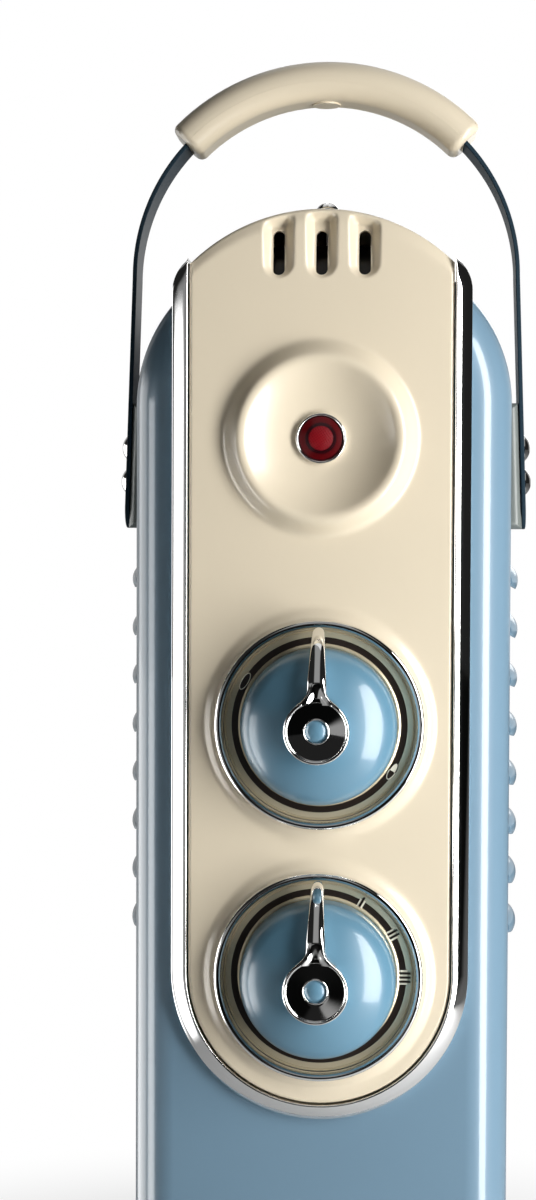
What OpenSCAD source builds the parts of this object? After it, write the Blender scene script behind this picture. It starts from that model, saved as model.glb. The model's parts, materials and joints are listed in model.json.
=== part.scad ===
// Oil-filled radiator with a rounded steel front housing, a moulded control panel and four castors.
// Millimetres. X runs across, Y from front to back, Z up. The origin is on the floor, under the
// centre of the outline.

/* [Oil fins] */
// Distance from one fin to the next
fin_pitch = 40; // [34:0.5:48]
// Width of a fin
fin_w = 150; // [140:1:152]
// Height of the lower edge of the fins above the floor
fin_bottom = 82; // [80:1:110]
// Height of a fin from its lower edge to its upper edge
fin_h = 530; // [450:1:640]
// Corner radius of a fin
fin_r = 62; // [50:1:66]
// Thickness of the two welded sheets together
fin_sheet = 2.4; // [1.6:0.1:3.2]
// Width of an oil channel pressed into a fin
channel_w = 28; // [20:0.5:30]
// Thickness of an oil channel through the fin
channel_t = 17; // [12:0.5:19]
// Thickness of the middle channel, a little less than that of the outer ones
mid_channel_t = 13; // [9:0.5:15]
// Distance of the outer channels from the middle of the fin
channel_x = 34; // [31:0.5:38]
// Distance of the header pipes from the upper and lower edges
header_inset = 32; // [30:0.5:38]
// Outer radius of the collars that join the fins
collar_r = 18; // [16:0.5:20]
// Radius of the bore through the collars
collar_bore_r = 14; // [12:0.5:15]
// Radius of the pressed boss round a collar
boss_r = 26; // [24:0.5:28]
// Depth of the pressed boss on each side of the fin
boss_depth = 9.5; // [9:0.5:12]

/* [Front housing] */
// Width of the housing
shell_w = 156; // [154:1:180]
// Depth of the housing, front to back
shell_depth = 75; // [68:1:100]
// Radius of the housing's four corners, seen from the front
shell_r = 66; // [60:1:72]
// Rounding between the front and the sides
shell_edge_r = 15; // [8:0.5:20]
// Thickness of the steel sheet
shell_t = 1.2; // [0.8:0.1:2]
// How far the housing stands above the fins
shell_over = 8; // [4:1:20]
// How far the housing reaches below the fins
shell_under = 4; // [0:1:12]
// How far a louvre stands out of the side
louvre_proud = 4.2; // [2:0.1:5]
// Radius of a louvre's hood at its middle
louvre_r = 7.5; // [6:0.1:8.5]
// Radius of the curve along the hood
louvre_sweep_r = 60; // [45:1:80]
// Distance from one louvre to the next
louvre_pitch = 20.7; // [18:0.1:24]
// Distance from the housing's top down to the first louvre
louvre_drop = 138.6; // [132:0.1:150]
// Distance from the housing's front to the middle of the louvres
louvre_back = 40; // [34:0.5:45]

/* [Control panel] */
// Width of the panel
panel_w = 107; // [100:0.5:112]
// How far the flat face of the panel stands in front of the housing
panel_proud = 7; // [5:0.5:10]
// Wall thickness of the moulding
panel_t = 2.5; // [1.8:0.1:3.2]
// Radius of the arched top
panel_arch_r = 77; // [70:1:90]
// How far the arch stands above the housing at the front
panel_over = 12; // [10:0.5:18]
// Slope of the panel's roof towards the back
roof_slope = 8; // [4:0.5:10]
// Length of the panel's roof over the housing
roof_depth = 72; // [50:1:74]
// Distance from the housing's top down to the lamp
lamp_drop = 80.6; // [75:0.1:90]
// Radius of the crest round the lamp's dish
dish_crest_r = 32.5; // [30:0.5:36]
// Radius at which the raised ring meets the flat face
dish_foot_r = 41; // [38:0.5:44]
// Height of the crest above the flat face
dish_proud = 6; // [3:0.5:8]
// Depth of the dish below its crest
dish_depth = 7; // [5:0.5:9]
// Length of a vent slot
vent_h = 18.2; // [12:0.1:20]
// Width of a vent slot
vent_w = 4.8; // [3:0.1:6]
// Distance from one vent slot to the next
vent_pitch = 17.4; // [15:0.1:20]
// Radius of the scoop round a vent slot
scoop_r = 6.5; // [5:0.1:7.5]

/* [Trim] */
// Width of the bright trim round the panel
trim_w = 6.8; // [5:0.1:9]
// How far the trim stands in front of the housing
trim_proud = 8; // [6:0.1:10]
// Gap between the panel and the trim
trim_gap = 0.5; // [0.3:0.1:1]
// Radius that rounds off the upper ends
trim_tip_r = 16; // [12:0.5:20]
// Distance from the housing's top down to where the upper ends start to round off
trim_tip_drop = 21; // [18:0.5:30]

/* [Dials and knobs] */
// Distance from the housing's top down to the thermostat knob
thermostat_drop = 196.5; // [190:0.5:210]
// Distance between the two knobs
knob_spacing = 102.4; // [92:0.1:110]
// Outer radius of a bezel
bezel_r = 42.55; // [38:0.05:44]
// Width of the bezel's rounded lip
bezel_lip = 2.6; // [2:0.1:4]
// How far the bezel stands in front of the panel's face
bezel_proud = 6; // [4:0.5:8]
// Radius of a knob's skirt
knob_r = 31.5; // [28:0.1:33]
// Height of a knob's top above the panel's face
knob_h = 28; // [24:0.5:34]
// Radius of the knob's crown
knob_crown_r = 48; // [42:0.5:70]
// Radius between the crown and the skirt
knob_shoulder_r = 12; // [6:0.5:14]
// Wall thickness of a knob
knob_t = 2.2; // [1.6:0.1:3]
// Radius of the pointer's hub
hub_r = 13.3; // [11:0.1:15]
// Length of the pointer from the middle of its hub
pointer_len = 40; // [34:0.5:41]
// Width of the pointer at its tip
pointer_tip_w = 4.3; // [3:0.1:6]
// Width of the pointer where it leaves the hub
pointer_root_w = 8.3; // [6:0.1:10]
// Radius of the small cap in the hub
cap_r = 4.3; // [3.5:0.1:6]
// Radius of a control's shaft
shaft_r = 3; // [2.5:0.1:4]

/* [Pilot lamp] */
// Outer radius of the lamp's bright ring
lamp_ring_r = 10.25; // [8:0.05:12]
// Radius of the lens
lamp_lens_r = 9.1; // [7:0.05:11]

/* [Handle] */
// Radius of the strap's outer face over the top
strap_r = 81.6; // [80.5:0.1:92]
// Height of the centre of the strap's arc below the top of the housing
strap_centre_drop = 10.8; // [4:0.1:16]
// Thickness of the strap
strap_t = 1.8; // [1.4:0.1:3]
// Width of the strap, front to back
strap_w = 20; // [16:0.5:24]
// Distance from the housing's front to the middle of the strap
strap_back = 40; // [30:0.5:44]
// Angle at which each arm leans outwards
strap_lean = 1.9; // [1:0.1:3]
// Length of the arm below the arc
arm_len = 106.2; // [95:0.1:112]
// Radial thickness of the grip
grip_t = 16.4; // [14:0.1:20]
// How far the grip stands outside the strap's outer face
grip_over = 8.7; // [6:0.1:12]
// Width of the grip, front to back
grip_w = 27; // [24:0.5:32]
// Radius that rounds the edges along the grip
grip_edge_r = 8; // [4:0.5:8]
// Half of the angle that the grip spans
grip_half_angle = 46.5; // [40:0.5:52]
// Length of the black spacer behind each strap end
spacer_h = 53; // [45:0.1:60]
// Radius of a strap screw's head
strap_head_r = 5.5; // [4:0.1:6.5]
// Distance from the strap's end up to the lower screw
strap_screw_rise = 20; // [14:0.5:24]
// Distance between the two screws of an arm
strap_screw_pitch = 14.3; // [12.5:0.1:18]

/* [Feet and castors] */
// Distance of a castor's swivel axis from the middle
castor_x = 98; // [92:1:120]
// Radius of a castor wheel
wheel_r = 20; // [16:0.5:22]
// Width of one wheel
wheel_w = 9; // [7:0.5:11]
// Distance from the swivel axis back to the axle
castor_trail = 13; // [10:0.5:16]
// Radius of the swivel pin
stem_r = 4; // [3:0.1:5]
// Radius of the wheels' axle
axle_r = 2.5; // [2:0.1:3.5]
// Thickness of the foot's steel
foot_t = 2.5; // [2:0.1:3.5]
// Width of a foot, front to back
foot_w = 20; // [16:0.5:21]
// Radius of the clamp bolt's rod
clamp_rod_r = 2.5; // [2:0.1:3]

/* [Electrical parts] */
// Length of the heating element inside the lower header
element_len = 300; // [200:1:330]
// Radius of the element's tube
element_tube_r = 3.2; // [2.5:0.1:4]
// Distance from the middle of the plug to each leg of the element
element_leg_x = 6; // [5:0.1:8]
// Radius of the cable gland's bore
gland_bore_r = 4; // [3:0.1:5]
// Distance of the gland from the housing's rear edge
gland_back = 30; // [25:1:45]

/* [Fits] */
// Radial clearance of a shaft, pin or axle in its bore
running_fit = 0.05; // [0.03:0.01:0.1]
// Clearance between curved faces that lie on each other
seat_gap = 0.3; // [0.2:0.05:0.5]

/* [Hidden] */
$fn = 64;
fin_count = 9;

// Colours
blue = [0.44, 0.61, 0.72];
cream = [0.92, 0.87, 0.76];
champagne = [0.78, 0.73, 0.58];
chrome = [0.82, 0.83, 0.84];
steel = [0.66, 0.68, 0.70];
slate = [0.22, 0.28, 0.34];
black = [0.10, 0.10, 0.11];
brass = [0.80, 0.68, 0.38];

// Heights
fin_top = fin_bottom + fin_h;
shell_top = fin_top + shell_over;
shell_bottom = fin_bottom - shell_under;
header_low_z = fin_bottom + header_inset;
header_high_z = fin_top - header_inset;
loop_low_z = header_low_z + channel_x;
loop_high_z = header_high_z - channel_x;
lamp_z = shell_top - lamp_drop;
thermostat_z = shell_top - thermostat_drop;
selector_z = thermostat_z - knob_spacing;
panel_foot_z = selector_z + 0.4;
arch_z = shell_top + panel_over;
strap_z = shell_top - strap_centre_drop;
strap_end_z = strap_z - arm_len;
strap_screw_zs = [strap_end_z + strap_screw_rise, strap_end_z + strap_screw_rise + strap_screw_pitch];

// Depths, worked out so that the outline is centred on the origin
hub_h = knob_h + 4;
header_cap_h = 9;
strap_hole_r = 2.8;
screw_hole_r = 1.7;
back_plate_t = 1.5;
bracket_t = 1.5;
front_reach = panel_proud + hub_h;
rear_reach = shell_depth + fin_pitch * fin_count + header_cap_h;
face_y = (front_reach - rear_reach) / 2;
shell_rear_y = face_y + shell_depth;
plate_front_y = shell_rear_y - back_plate_t;
panel_y = face_y - panel_proud;
bracket_y = face_y + shell_t + bracket_t;
strap_y = face_y + strap_back;
louvre_y = face_y + louvre_back;
gland_y = shell_rear_y - gland_back;
gland_r = 7;
function fin_y(i) = shell_rear_y + fin_pitch * (i - 0.5);
function joint_y(i) = shell_rear_y + fin_pitch * i;

// Points of a circular arc
function arc(cx, cy, r, from, to, steps = 12) =
    [for (k = [0 : steps]) let (a = from + (to - from) * k / steps) [cx + r * cos(a), cy + r * sin(a)]];

// Extrudes an outline drawn in X and Z between two depths
module slab(y0, y1) {
    translate([0, y1, 0]) rotate([90, 0, 0]) linear_extrude(y1 - y0) children();
}

// Extrudes an outline drawn in Y and Z between two places across
module across(x0, x1) {
    translate([x0, 0, 0]) rotate([90, 0, 90]) linear_extrude(x1 - x0) children();
}

// Turns a profile about an axis that runs front to back; the profile's heights point to the front
module turned(x, y, z) {
    translate([x, y, z]) rotate([90, 0, 0]) rotate_extrude() children();
}

// A round bar or bore that runs from front to back
module rod_y(r, x, z, y0, y1) {
    translate([x, y0, z]) rotate([-90, 0, 0]) cylinder(r = r, h = y1 - y0);
}

// A hexagon head or nut whose axis runs from front to back
module hex_y(r, x, z, y0, y1) {
    translate([x, y0, z]) rotate([-90, 0, 0]) cylinder(r = r, h = y1 - y0, $fn = 6);
}

// A round bar or bore that runs across
module rod_x(r, y, z, x0, x1) {
    translate([x0, y, z]) rotate([0, 90, 0]) cylinder(r = r, h = x1 - x0);
}

module both_sides() {
    children();
    mirror([1, 0, 0]) children();
}

// A rectangle with round corners, standing on the X axis
module round_rect(w, h, r) {
    translate([-w / 2, r]) square([w, h - 2 * r]);
    translate([r - w / 2, 0]) square([w - 2 * r, h]);
    for (x = [r - w / 2, w / 2 - r], z = [r, h - r]) translate([x, z]) circle(r);
}

// A slot with round ends, centred on the origin
module slot(w, h) {
    square([w, h - w], center = true);
    for (side = [-1, 1]) translate([0, side * (h - w) / 2]) circle(w / 2);
}

// Section of an oil channel: two shallow arcs that meet at the edges
module lens(w, t) {
    r = (w * w / 4 + t * t / 4) / t;
    intersection() {
        translate([0, t / 2 - r]) circle(r, $fn = 128);
        translate([0, r - t / 2]) circle(r, $fn = 128);
    }
}

// Half of the loop that joins the outer channels to a header
module channel_bend() {
    rotate([90, 0, 0]) rotate_extrude(angle = 180) translate([channel_x, 0]) lens(channel_w, channel_t);
}

// Pressed bosses and joining collars of one header, before it is bored
module collar() {
    half = fin_pitch / 2;
    rotate([90, 0, 0]) rotate_extrude()
        polygon([[0, -half], [collar_r, -half], [collar_r, -boss_depth], [boss_r, 0],
            [collar_r, boss_depth], [collar_r, half], [0, half]]);
}

module fin(i) {
    color(blue) translate([0, fin_y(i), 0]) difference() {
        union() {
            slab(-fin_sheet / 2, fin_sheet / 2) translate([0, fin_bottom]) round_rect(fin_w, fin_h, fin_r);
            for (side = [-1, 1]) translate([side * channel_x, 0, loop_low_z])
                linear_extrude(loop_high_z - loop_low_z) lens(channel_w, channel_t);
            translate([0, 0, header_low_z])
                linear_extrude(header_high_z - header_low_z) lens(channel_w, mid_channel_t);
            translate([0, 0, loop_high_z]) channel_bend();
            translate([0, 0, loop_low_z]) mirror([0, 0, 1]) channel_bend();
            for (z = [header_low_z, header_high_z]) translate([0, 0, z]) collar();
        }
        for (z = [header_low_z, header_high_z]) rod_y(collar_bore_r, 0, z, -fin_pitch, fin_pitch);
    }
}

// Closing plugs of the headers: two at the back, and one at the front with a stud for the housing
module header_caps() {
    spigot_r = collar_bore_r - running_fit;
    rear_y = joint_y(fin_count);
    color(blue) {
        for (z = [header_low_z, header_high_z]) {
            rod_y(spigot_r, 0, z, rear_y - 8, rear_y);
            rod_y(collar_r + 1, 0, z, rear_y, rear_y + 4);
            hex_y(11, 0, z, rear_y + 4, rear_y + header_cap_h);
        }
        rod_y(spigot_r, 0, header_high_z, shell_rear_y, shell_rear_y + 12);
        rod_y(4, 0, header_high_z, plate_front_y - 11, shell_rear_y);
    }
}

// Two legs and a return bend of sheathed tube
module heating_element() {
    tip_y = shell_rear_y + element_len;
    color(steel) {
        for (side = [-1, 1])
            rod_y(element_tube_r, side * element_leg_x, header_low_z, plate_front_y - 20, tip_y);
        translate([0, tip_y, header_low_z]) rotate_extrude(angle = 180)
            translate([element_leg_x, 0]) circle(element_tube_r);
    }
}

// Hexagonal plug that carries the element and clamps the back plate to the first fin
module element_plug() {
    color(brass) difference() {
        union() {
            hex_y(19, 0, header_low_z, plate_front_y - 8, plate_front_y);
            rod_y(collar_bore_r - running_fit, 0, header_low_z, plate_front_y, shell_rear_y + 14);
        }
        for (side = [-1, 1])
            rod_y(element_tube_r + running_fit, side * element_leg_x, header_low_z,
                plate_front_y - 9, shell_rear_y + 15);
    }
}

// Wall section of the pan: a rectangle whose front corner is rounded
module pan_edge(reach, depth, edge_r) {
    square([reach, depth - edge_r]);
    square([reach - edge_r, depth]);
    translate([reach - edge_r, depth - edge_r]) circle(edge_r);
}

// Solid form of the housing: a rounded box with a rounded front edge. grow enlarges it on every side,
// and rear lengthens it towards the back
module pan(grow = 0, rear = 0) {
    r = shell_r + grow;
    edge = shell_edge_r + grow;
    depth = shell_depth + grow + rear;
    flat_x = shell_w / 2 - shell_r;
    low = shell_bottom + shell_r;
    high = shell_top - shell_r;
    translate([0, shell_rear_y + rear, 0]) {
        translate([-flat_x, -depth, low]) cube([2 * flat_x, depth, high - low]);
        both_sides() {
            translate([flat_x, 0, low]) linear_extrude(high - low) mirror([0, 1]) pan_edge(r, depth, edge);
            translate([flat_x, 0, high]) rotate([90, 0, 0])
                rotate_extrude(angle = 90) pan_edge(r, depth, edge);
            translate([flat_x, 0, low]) mirror([0, 0, 1]) rotate([90, 0, 0])
                rotate_extrude(angle = 90) pan_edge(r, depth, edge);
        }
        for (top = [0, 1]) translate([-flat_x, 0, top ? high : low]) mirror([0, 0, 1 - top])
            rotate([90, 0, 90]) linear_extrude(2 * flat_x) rotate(90) pan_edge(r, depth, edge);
    }
}

// Spindle that swells out of the side wall as a louvre's hood
module louvre(z, inset) {
    r = louvre_r - inset;
    translate([shell_w / 2 + louvre_proud - louvre_r, louvre_y, z]) rotate([-90, 0, 0]) rotate_extrude()
        intersection() {
            translate([r - louvre_sweep_r, 0]) circle(louvre_sweep_r, $fn = 160);
            translate([0, -30]) square([20, 60]);
        }
}

function louvre_z(k) = shell_top - louvre_drop - louvre_pitch * k;
flange_zs = [shell_bottom + 130, shell_top - 130];
flange_y = plate_front_y - shell_t;
flange_w = 14;

module front_housing() {
    window_w = 84;
    window_low = panel_foot_z - 30;
    window_high = shell_top - 40;
    color(blue) difference() {
        union() {
            pan();
            both_sides() for (k = [0 : 7]) louvre(louvre_z(k), 0);
        }
        difference() {
            pan(-shell_t, 5);
            both_sides() for (z = flange_zs)
                translate([shell_w / 2 - shell_t - flange_w, flange_y, z - 10])
                    cube([flange_w + 1, shell_t, 20]);
        }
        both_sides() for (k = [0 : 7]) {
            louvre(louvre_z(k), 0.9);
            translate([shell_w / 2 - 6, louvre_y - 15, louvre_z(k) - 6.2]) cube([12, 30, 2.4]);
        }
        // Window for the controls, behind the panel
        slab(face_y - 1, face_y + shell_t + 1) translate([0, window_low])
            round_rect(window_w, window_high - window_low, 20);
        // Air outlet under the panel's roof
        translate([-25, face_y + 22, shell_top - 6]) cube([50, 26, 12]);
        roof_frame() translate([0, roof_screw_y, -60]) cylinder(r = 2.2, h = 60);
        translate([0, gland_y, shell_bottom - 1]) cylinder(r = gland_r + 0.2, h = shell_t + 2);
        both_sides() {
            for (z = strap_screw_zs)
                rod_x(strap_hole_r, strap_y, z, shell_w / 2 - 6, shell_w / 2 + 1);
            for (z = flange_zs)
                rod_y(screw_hole_r, shell_w / 2 - shell_t - flange_w / 2, z, flange_y - 1, shell_rear_y + 1);
        }
        for (p = panel_screw_places) rod_y(screw_hole_r, p[0], p[1], face_y - 1, face_y + shell_t + 1);
    }
}

module back_plate() {
    inset = shell_t + seat_gap;
    color(steel) difference() {
        slab(plate_front_y, shell_rear_y) translate([0, shell_bottom + inset])
            round_rect(shell_w - 2 * inset, shell_top - shell_bottom - 2 * inset, shell_r - inset);
        rod_y(collar_bore_r + 0.4, 0, header_low_z, plate_front_y - 1, shell_rear_y + 1);
        rod_y(4.4, 0, header_high_z, plate_front_y - 1, shell_rear_y + 1);
        both_sides() for (z = flange_zs)
            rod_y(screw_hole_r, shell_w / 2 - shell_t - flange_w / 2, z, plate_front_y - 1, shell_rear_y + 1);
        slab(plate_front_y - 1, shell_rear_y + 1)
            for (k = [-3 : 3], z = [header_high_z - 70, header_low_z + 130])
                translate([k * 14, z]) slot(4, 44);
    }
}

// Pan-head screw that points to the front, its head's seat at the given depth
module screw_forward(x, z, seat_y, len, r) {
    rod_y(r, x, z, seat_y - len, seat_y);
    turned_back(x, seat_y, z)
        polygon(concat([[0, 0], [2 * r, 0]], arc(0, r / 2, 2 * r, 0, 60, 5), [[0, 2.3 * r]]));
}

// Turns a profile about an axis that runs front to back; the profile's heights point to the back
module turned_back(x, y, z) {
    translate([x, y, z]) rotate([-90, 0, 0]) rotate_extrude() children();
}

module back_plate_screws() {
    color(steel) both_sides() for (z = flange_zs)
        screw_forward(shell_w / 2 - shell_t - flange_w / 2, z, shell_rear_y, 6, 1.5);
}

module housing_nut() {
    color(steel) difference() {
        hex_y(7.5, 0, header_high_z, plate_front_y - 6.5, plate_front_y);
        rod_y(4 + running_fit, 0, header_high_z, plate_front_y - 8, plate_front_y + 1);
    }
}

// Frame of the panel's sloping roof: its origin is on the ridge at the panel's face
roof_screw_y = 66;
module roof_frame() {
    translate([0, panel_y, arch_z]) rotate([roof_slope, 0, 0]) children();
}

// Everything that lies above the roof's arch
module above_arch(inset) {
    difference() {
        translate([-80, panel_y - 20, arch_z - 45]) cube([160, 130, 90]);
        roof_frame() translate([0, -40, -panel_arch_r])
            rod_y(panel_arch_r - inset, 0, 0, 0, 180);
    }
}

// Front outline of the panel without its arch, open towards the top
module panel_outline(inset) {
    translate([0, panel_foot_z]) circle(panel_w / 2 - inset);
    translate([inset - panel_w / 2, panel_foot_z]) square([panel_w - 2 * inset, arch_z + 30 - panel_foot_z]);
}

// Solid form of the panel: the slab on the housing's front and the roof over its top
module panel_form(inset) {
    low = shell_top - 60;
    difference() {
        union() {
            slab(panel_y + inset, face_y + inset) panel_outline(inset);
            translate([inset - panel_w / 2, panel_y + inset, low])
                cube([panel_w - 2 * inset, panel_proud + roof_depth - 2 * inset, arch_z + 40 - low]);
        }
        above_arch(inset);
    }
}

// Height of the dish's front surface at a distance from its middle
dish_lip_r = dish_crest_r - 2.5;
function dish_h(r) =
    r > dish_crest_r
    ? dish_proud * (1 + cos(180 * (r - dish_crest_r) / (dish_foot_r - dish_crest_r))) / 2
    : r > dish_lip_r
        ? dish_proud - 0.8 * pow((dish_crest_r - r) / 2.5, 2)
        : dish_proud - dish_depth + (dish_depth - 0.8) * pow(r / dish_lip_r, 2);
dish_rs = concat([for (k = [0 : 7]) 8.6 + (dish_lip_r - 8.6) * k / 7],
    [for (k = [1 : 4]) dish_lip_r + 2.5 * k / 4],
    [for (k = [1 : 8]) dish_crest_r + (dish_foot_r - dish_crest_r) * k / 8]);

module dish() {
    front = [for (r = dish_rs) [r, dish_h(r)]];
    rear = [for (k = [len(dish_rs) - 1 : -1 : 0]) [dish_rs[k], dish_h(dish_rs[k]) - panel_t]];
    turned(0, panel_y, lamp_z) polygon(concat(front, rear));
}

// Soft raised ring on which a bezel sits
module bezel_seat(z) {
    seat_r = bezel_r + seat_gap;
    turned(0, panel_y, z)
        polygon(concat([[seat_r, -0.5], [seat_r + 4.6, -0.5], [seat_r + 4.6, 0]],
            arc(seat_r + 1, -0.7, 2.7, 20, 90, 6), [[seat_r, 2]]));
}

// Round-ended scoop whose floor sinks into the face towards the top
module scoop(x, grow) {
    r = scoop_r + grow;
    foot = arch_z - 6.5 - vent_h - 1.5 + 4;
    translate([x, panel_y - scoop_r + 1.6, foot]) rotate([-9, 0, 0]) rotate_extrude() {
        square([r, 60]);
        intersection() {
            circle(r);
            translate([0, -r]) square([r, r]);
        }
    }
}

vent_z = arch_z - 17.7;
boss_x = 46.5;
boss_zs = [panel_foot_z + 15, thermostat_z + 48, shell_top - 60];
panel_screw_places = [for (x = [-boss_x, boss_x], z = boss_zs) [x, z]];

module control_panel() {
    color(cream) difference() {
        union() {
            difference() {
                panel_form(0);
                difference() {
                    panel_form(panel_t);
                    for (k = [-1 : 1]) scoop(k * vent_pitch, panel_t);
                }
                rod_y(dish_foot_r - 0.01, 0, lamp_z, panel_y - 1, panel_y + panel_t + 1);
            }
            dish();
            for (z = [thermostat_z, selector_z]) bezel_seat(z);
            for (p = panel_screw_places) rod_y(3.6, p[0], p[1], panel_y + 1, face_y);
            intersection() {
                roof_frame() translate([0, roof_screw_y, -45]) cylinder(r = 5, h = 44);
                translate([-10, face_y + 20, shell_top - 5]) cube([20, 60, 60]);
            }
        }
        pan(seat_gap, seat_gap);
        for (k = [-1 : 1]) {
            scoop(k * vent_pitch, 0);
            slab(panel_y - 1, face_y + 2) translate([k * vent_pitch, vent_z]) slot(vent_w, vent_h);
        }
        for (z = [thermostat_z, selector_z]) rod_y(8, 0, z, panel_y - 1, face_y + 1);
        for (p = panel_screw_places) rod_y(1.5, p[0], p[1], panel_y + panel_t, face_y + 1);
        roof_frame() translate([0, roof_screw_y, -60]) cylinder(r = 2.1, h = 70);
    }
}

module panel_screws() {
    color(steel) for (p = panel_screw_places) screw_forward(p[0], p[1], bracket_y, 6.4, 1.4);
}

module top_screw() {
    color(chrome) roof_frame() translate([0, roof_screw_y, 0.05]) {
        translate([0, 0, -28]) cylinder(r = 1.8, h = 28.1);
        difference() {
            rotate_extrude() polygon(concat([[0, 0], [5, 0]], arc(0, -2.4, 5.7, 28, 90, 8)));
            for (a = [0, 90]) rotate(a) translate([-2.6, -0.5, 1.8]) cube([5.2, 1, 3]);
        }
    }
}

// Section of the trim, measured from the panel's edge outwards and from its foot to the front
module trim_section(depth) {
    r = trim_w / 2;
    square([trim_w, depth - r]);
    translate([r, depth - r]) circle(r);
}

module chrome_trim() {
    inner = panel_w / 2 + trim_gap;
    tip_z = shell_top - trim_tip_drop;
    wrap_z = shell_top - shell_r;
    wrap = shell_edge_r;
    color(chrome) {
        translate([0, face_y, panel_foot_z]) rotate([90, 0, 0]) mirror([0, 1, 0])
            rotate_extrude(angle = 180) translate([inner, 0]) trim_section(trim_proud);
        both_sides() {
            translate([inner, face_y, panel_foot_z])
                linear_extrude(wrap_z - panel_foot_z) mirror([0, 1]) trim_section(trim_proud);
            // The upper end wraps round the housing's shoulder and narrows to its tip
            difference() {
                intersection() {
                    translate([inner, face_y + wrap, wrap_z])
                        linear_extrude(60) mirror([0, 1]) trim_section(trim_proud + wrap);
                    slab(face_y - 20, face_y + 20) {
                        translate([inner + trim_w - trim_tip_r, tip_z]) circle(trim_tip_r);
                        translate([inner - 1, wrap_z - 1]) square([trim_w + 1, tip_z - wrap_z + 1]);
                    }
                }
                pan(seat_gap, seat_gap);
            }
        }
    }
}

// Polished ring round a dial
module bezel(z) {
    inner = bezel_r - bezel_lip;
    mid = bezel_r - bezel_lip / 2;
    crest = bezel_lip / 2;
    color(chrome) turned(0, panel_y, z)
        polygon(concat([[inner, 0], [bezel_r, 0]],
            arc(mid, bezel_proud - crest, crest, 0, 180, 10)));
}

dial_floor = 1.6;
dial_r = bezel_r - bezel_lip - seat_gap;
band_r = knob_r + 3.5;

// Stepped ring under a knob, with the flat band that carries the marks
module dial(z) {
    turned(0, panel_y, z)
        polygon([[6, 0], [dial_r, 0], [dial_r, 4.4], [dial_r - 1.2, 4.4], [dial_r - 1.6, 3.7],
            [dial_r - 2.9, 2.7], [dial_r - 3.1, 2.2], [band_r, dial_floor], [6, dial_floor]]);
}

// Raises a mark, drawn at the top, from the band at a clockwise angle
module on_band(z, a) {
    translate([0, panel_y - dial_floor + 0.1, z]) rotate([0, a, 0])
        rotate([90, 0, 0]) linear_extrude(0.5) children();
}

module thermostat_dial() {
    color(champagne) {
        dial(thermostat_z);
        // Drop-shaped marks for the lowest and the highest setting
        for (a = [58, -135]) on_band(thermostat_z, -a) translate([0, knob_r + 1.9]) {
            circle(1.2);
            polygon([[-1.15, 0.3], [0, 3.6], [1.15, 0.3]]);
        }
    }
}

module selector_dial() {
    color(champagne) {
        dial(selector_z);
        // One, two and three strokes
        for (k = [1 : 3]) on_band(selector_z, 30 * k) for (n = [1 : k])
            translate([(n - (k + 1) / 2) * 1.3 - 0.25, knob_r + 0.5]) square([0.5, 3]);
    }
}

// Where the knob's shoulder and crown meet
crown_h = knob_h - knob_crown_r;
shoulder_x = knob_r - knob_shoulder_r;
shoulder_h = crown_h + sqrt(pow(knob_crown_r - knob_shoulder_r, 2) - pow(shoulder_x, 2));
shoulder_angle = atan2(shoulder_h - crown_h, shoulder_x);
knob_foot = 2.2;

// Outline of the knob, shrunk by inset, from its skirt up over the crown
function knob_curve(inset) = concat(
    [[knob_r - inset, knob_foot]],
    arc(shoulder_x, shoulder_h, knob_shoulder_r - inset, 0, shoulder_angle, 8),
    arc(0, crown_h, knob_crown_r - inset, shoulder_angle, 90, 8));

// Flat on the crown on which the pointer's hub sits
knob_seat_h = knob_h - 1;
hub_seat_r = 9.8;

module knob(z) {
    socket_h = 20;
    inside = concat([[knob_r - knob_t, knob_foot - 1]], knob_curve(knob_t), [[0, knob_foot - 1]]);
    color(blue) difference() {
        turned(0, panel_y, z) difference() {
            polygon(concat(knob_curve(0), [[0, knob_foot]]));
            translate([-1, knob_seat_h]) square([hub_seat_r + 1, 10]);
        }
        difference() {
            turned(0, panel_y, z) polygon(inside);
            rod_y(6, 0, z, panel_y - knob_h, panel_y - 4);
        }
        rod_y(shaft_r + running_fit, 0, z, panel_y - socket_h, panel_y);
    }
}

// Pointer: a dished hub and a tapering arm that bends down over the knob's shoulder
module pointer(z) {
    lift = seat_gap;
    under = concat(
        [[36, 8.6], [knob_r + 1.2, 9.6]],
        arc(shoulder_x, shoulder_h, knob_shoulder_r + lift, 4, shoulder_angle, 7),
        arc(0, crown_h, knob_crown_r + lift, shoulder_angle, 78, 6));
    over = arc(6.5, -2.6, 36, 69, 21, 10);
    color(chrome) translate([0, panel_y, z]) difference() {
        union() {
            rotate([90, 0, 0]) rotate_extrude() polygon(concat(
                [[0, knob_seat_h], [hub_seat_r + 0.4, knob_seat_h]],
                [[hub_r - 0.6, knob_seat_h - 0.4], [hub_r, knob_seat_h + 0.2]],
                arc(hub_r - 1.4, hub_h - 1.4, 1.4, 0, 150, 6),
                [[9, hub_h - 2.2], [cap_r + 0.3, hub_h - 2.8], [0, hub_h - 2.8]]));
            intersection() {
                rotate([90, 0, 0]) rotate_extrude() polygon(concat([[pointer_len + 1, 8.6]], under, over));
                slab(-40, 0) {
                    translate([0, pointer_len - pointer_tip_w / 2]) circle(pointer_tip_w / 2);
                    polygon([[-pointer_root_w / 2, 10.5], [pointer_root_w / 2, 10.5],
                        [pointer_tip_w / 2, pointer_len - pointer_tip_w / 2],
                        [-pointer_tip_w / 2, pointer_len - pointer_tip_w / 2]]);
                }
            }
        }
        rod_y(cap_r + 0.3, 0, 0, -hub_h - 1, -knob_seat_h - 1);
    }
}

module cap(z) {
    color(blue) turned(0, panel_y, z)
        polygon(concat([[0, knob_seat_h + 1], [cap_r, knob_seat_h + 1]],
            arc(0, hub_h - 7.4, 6.6, 49, 90, 6)));
}

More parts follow.
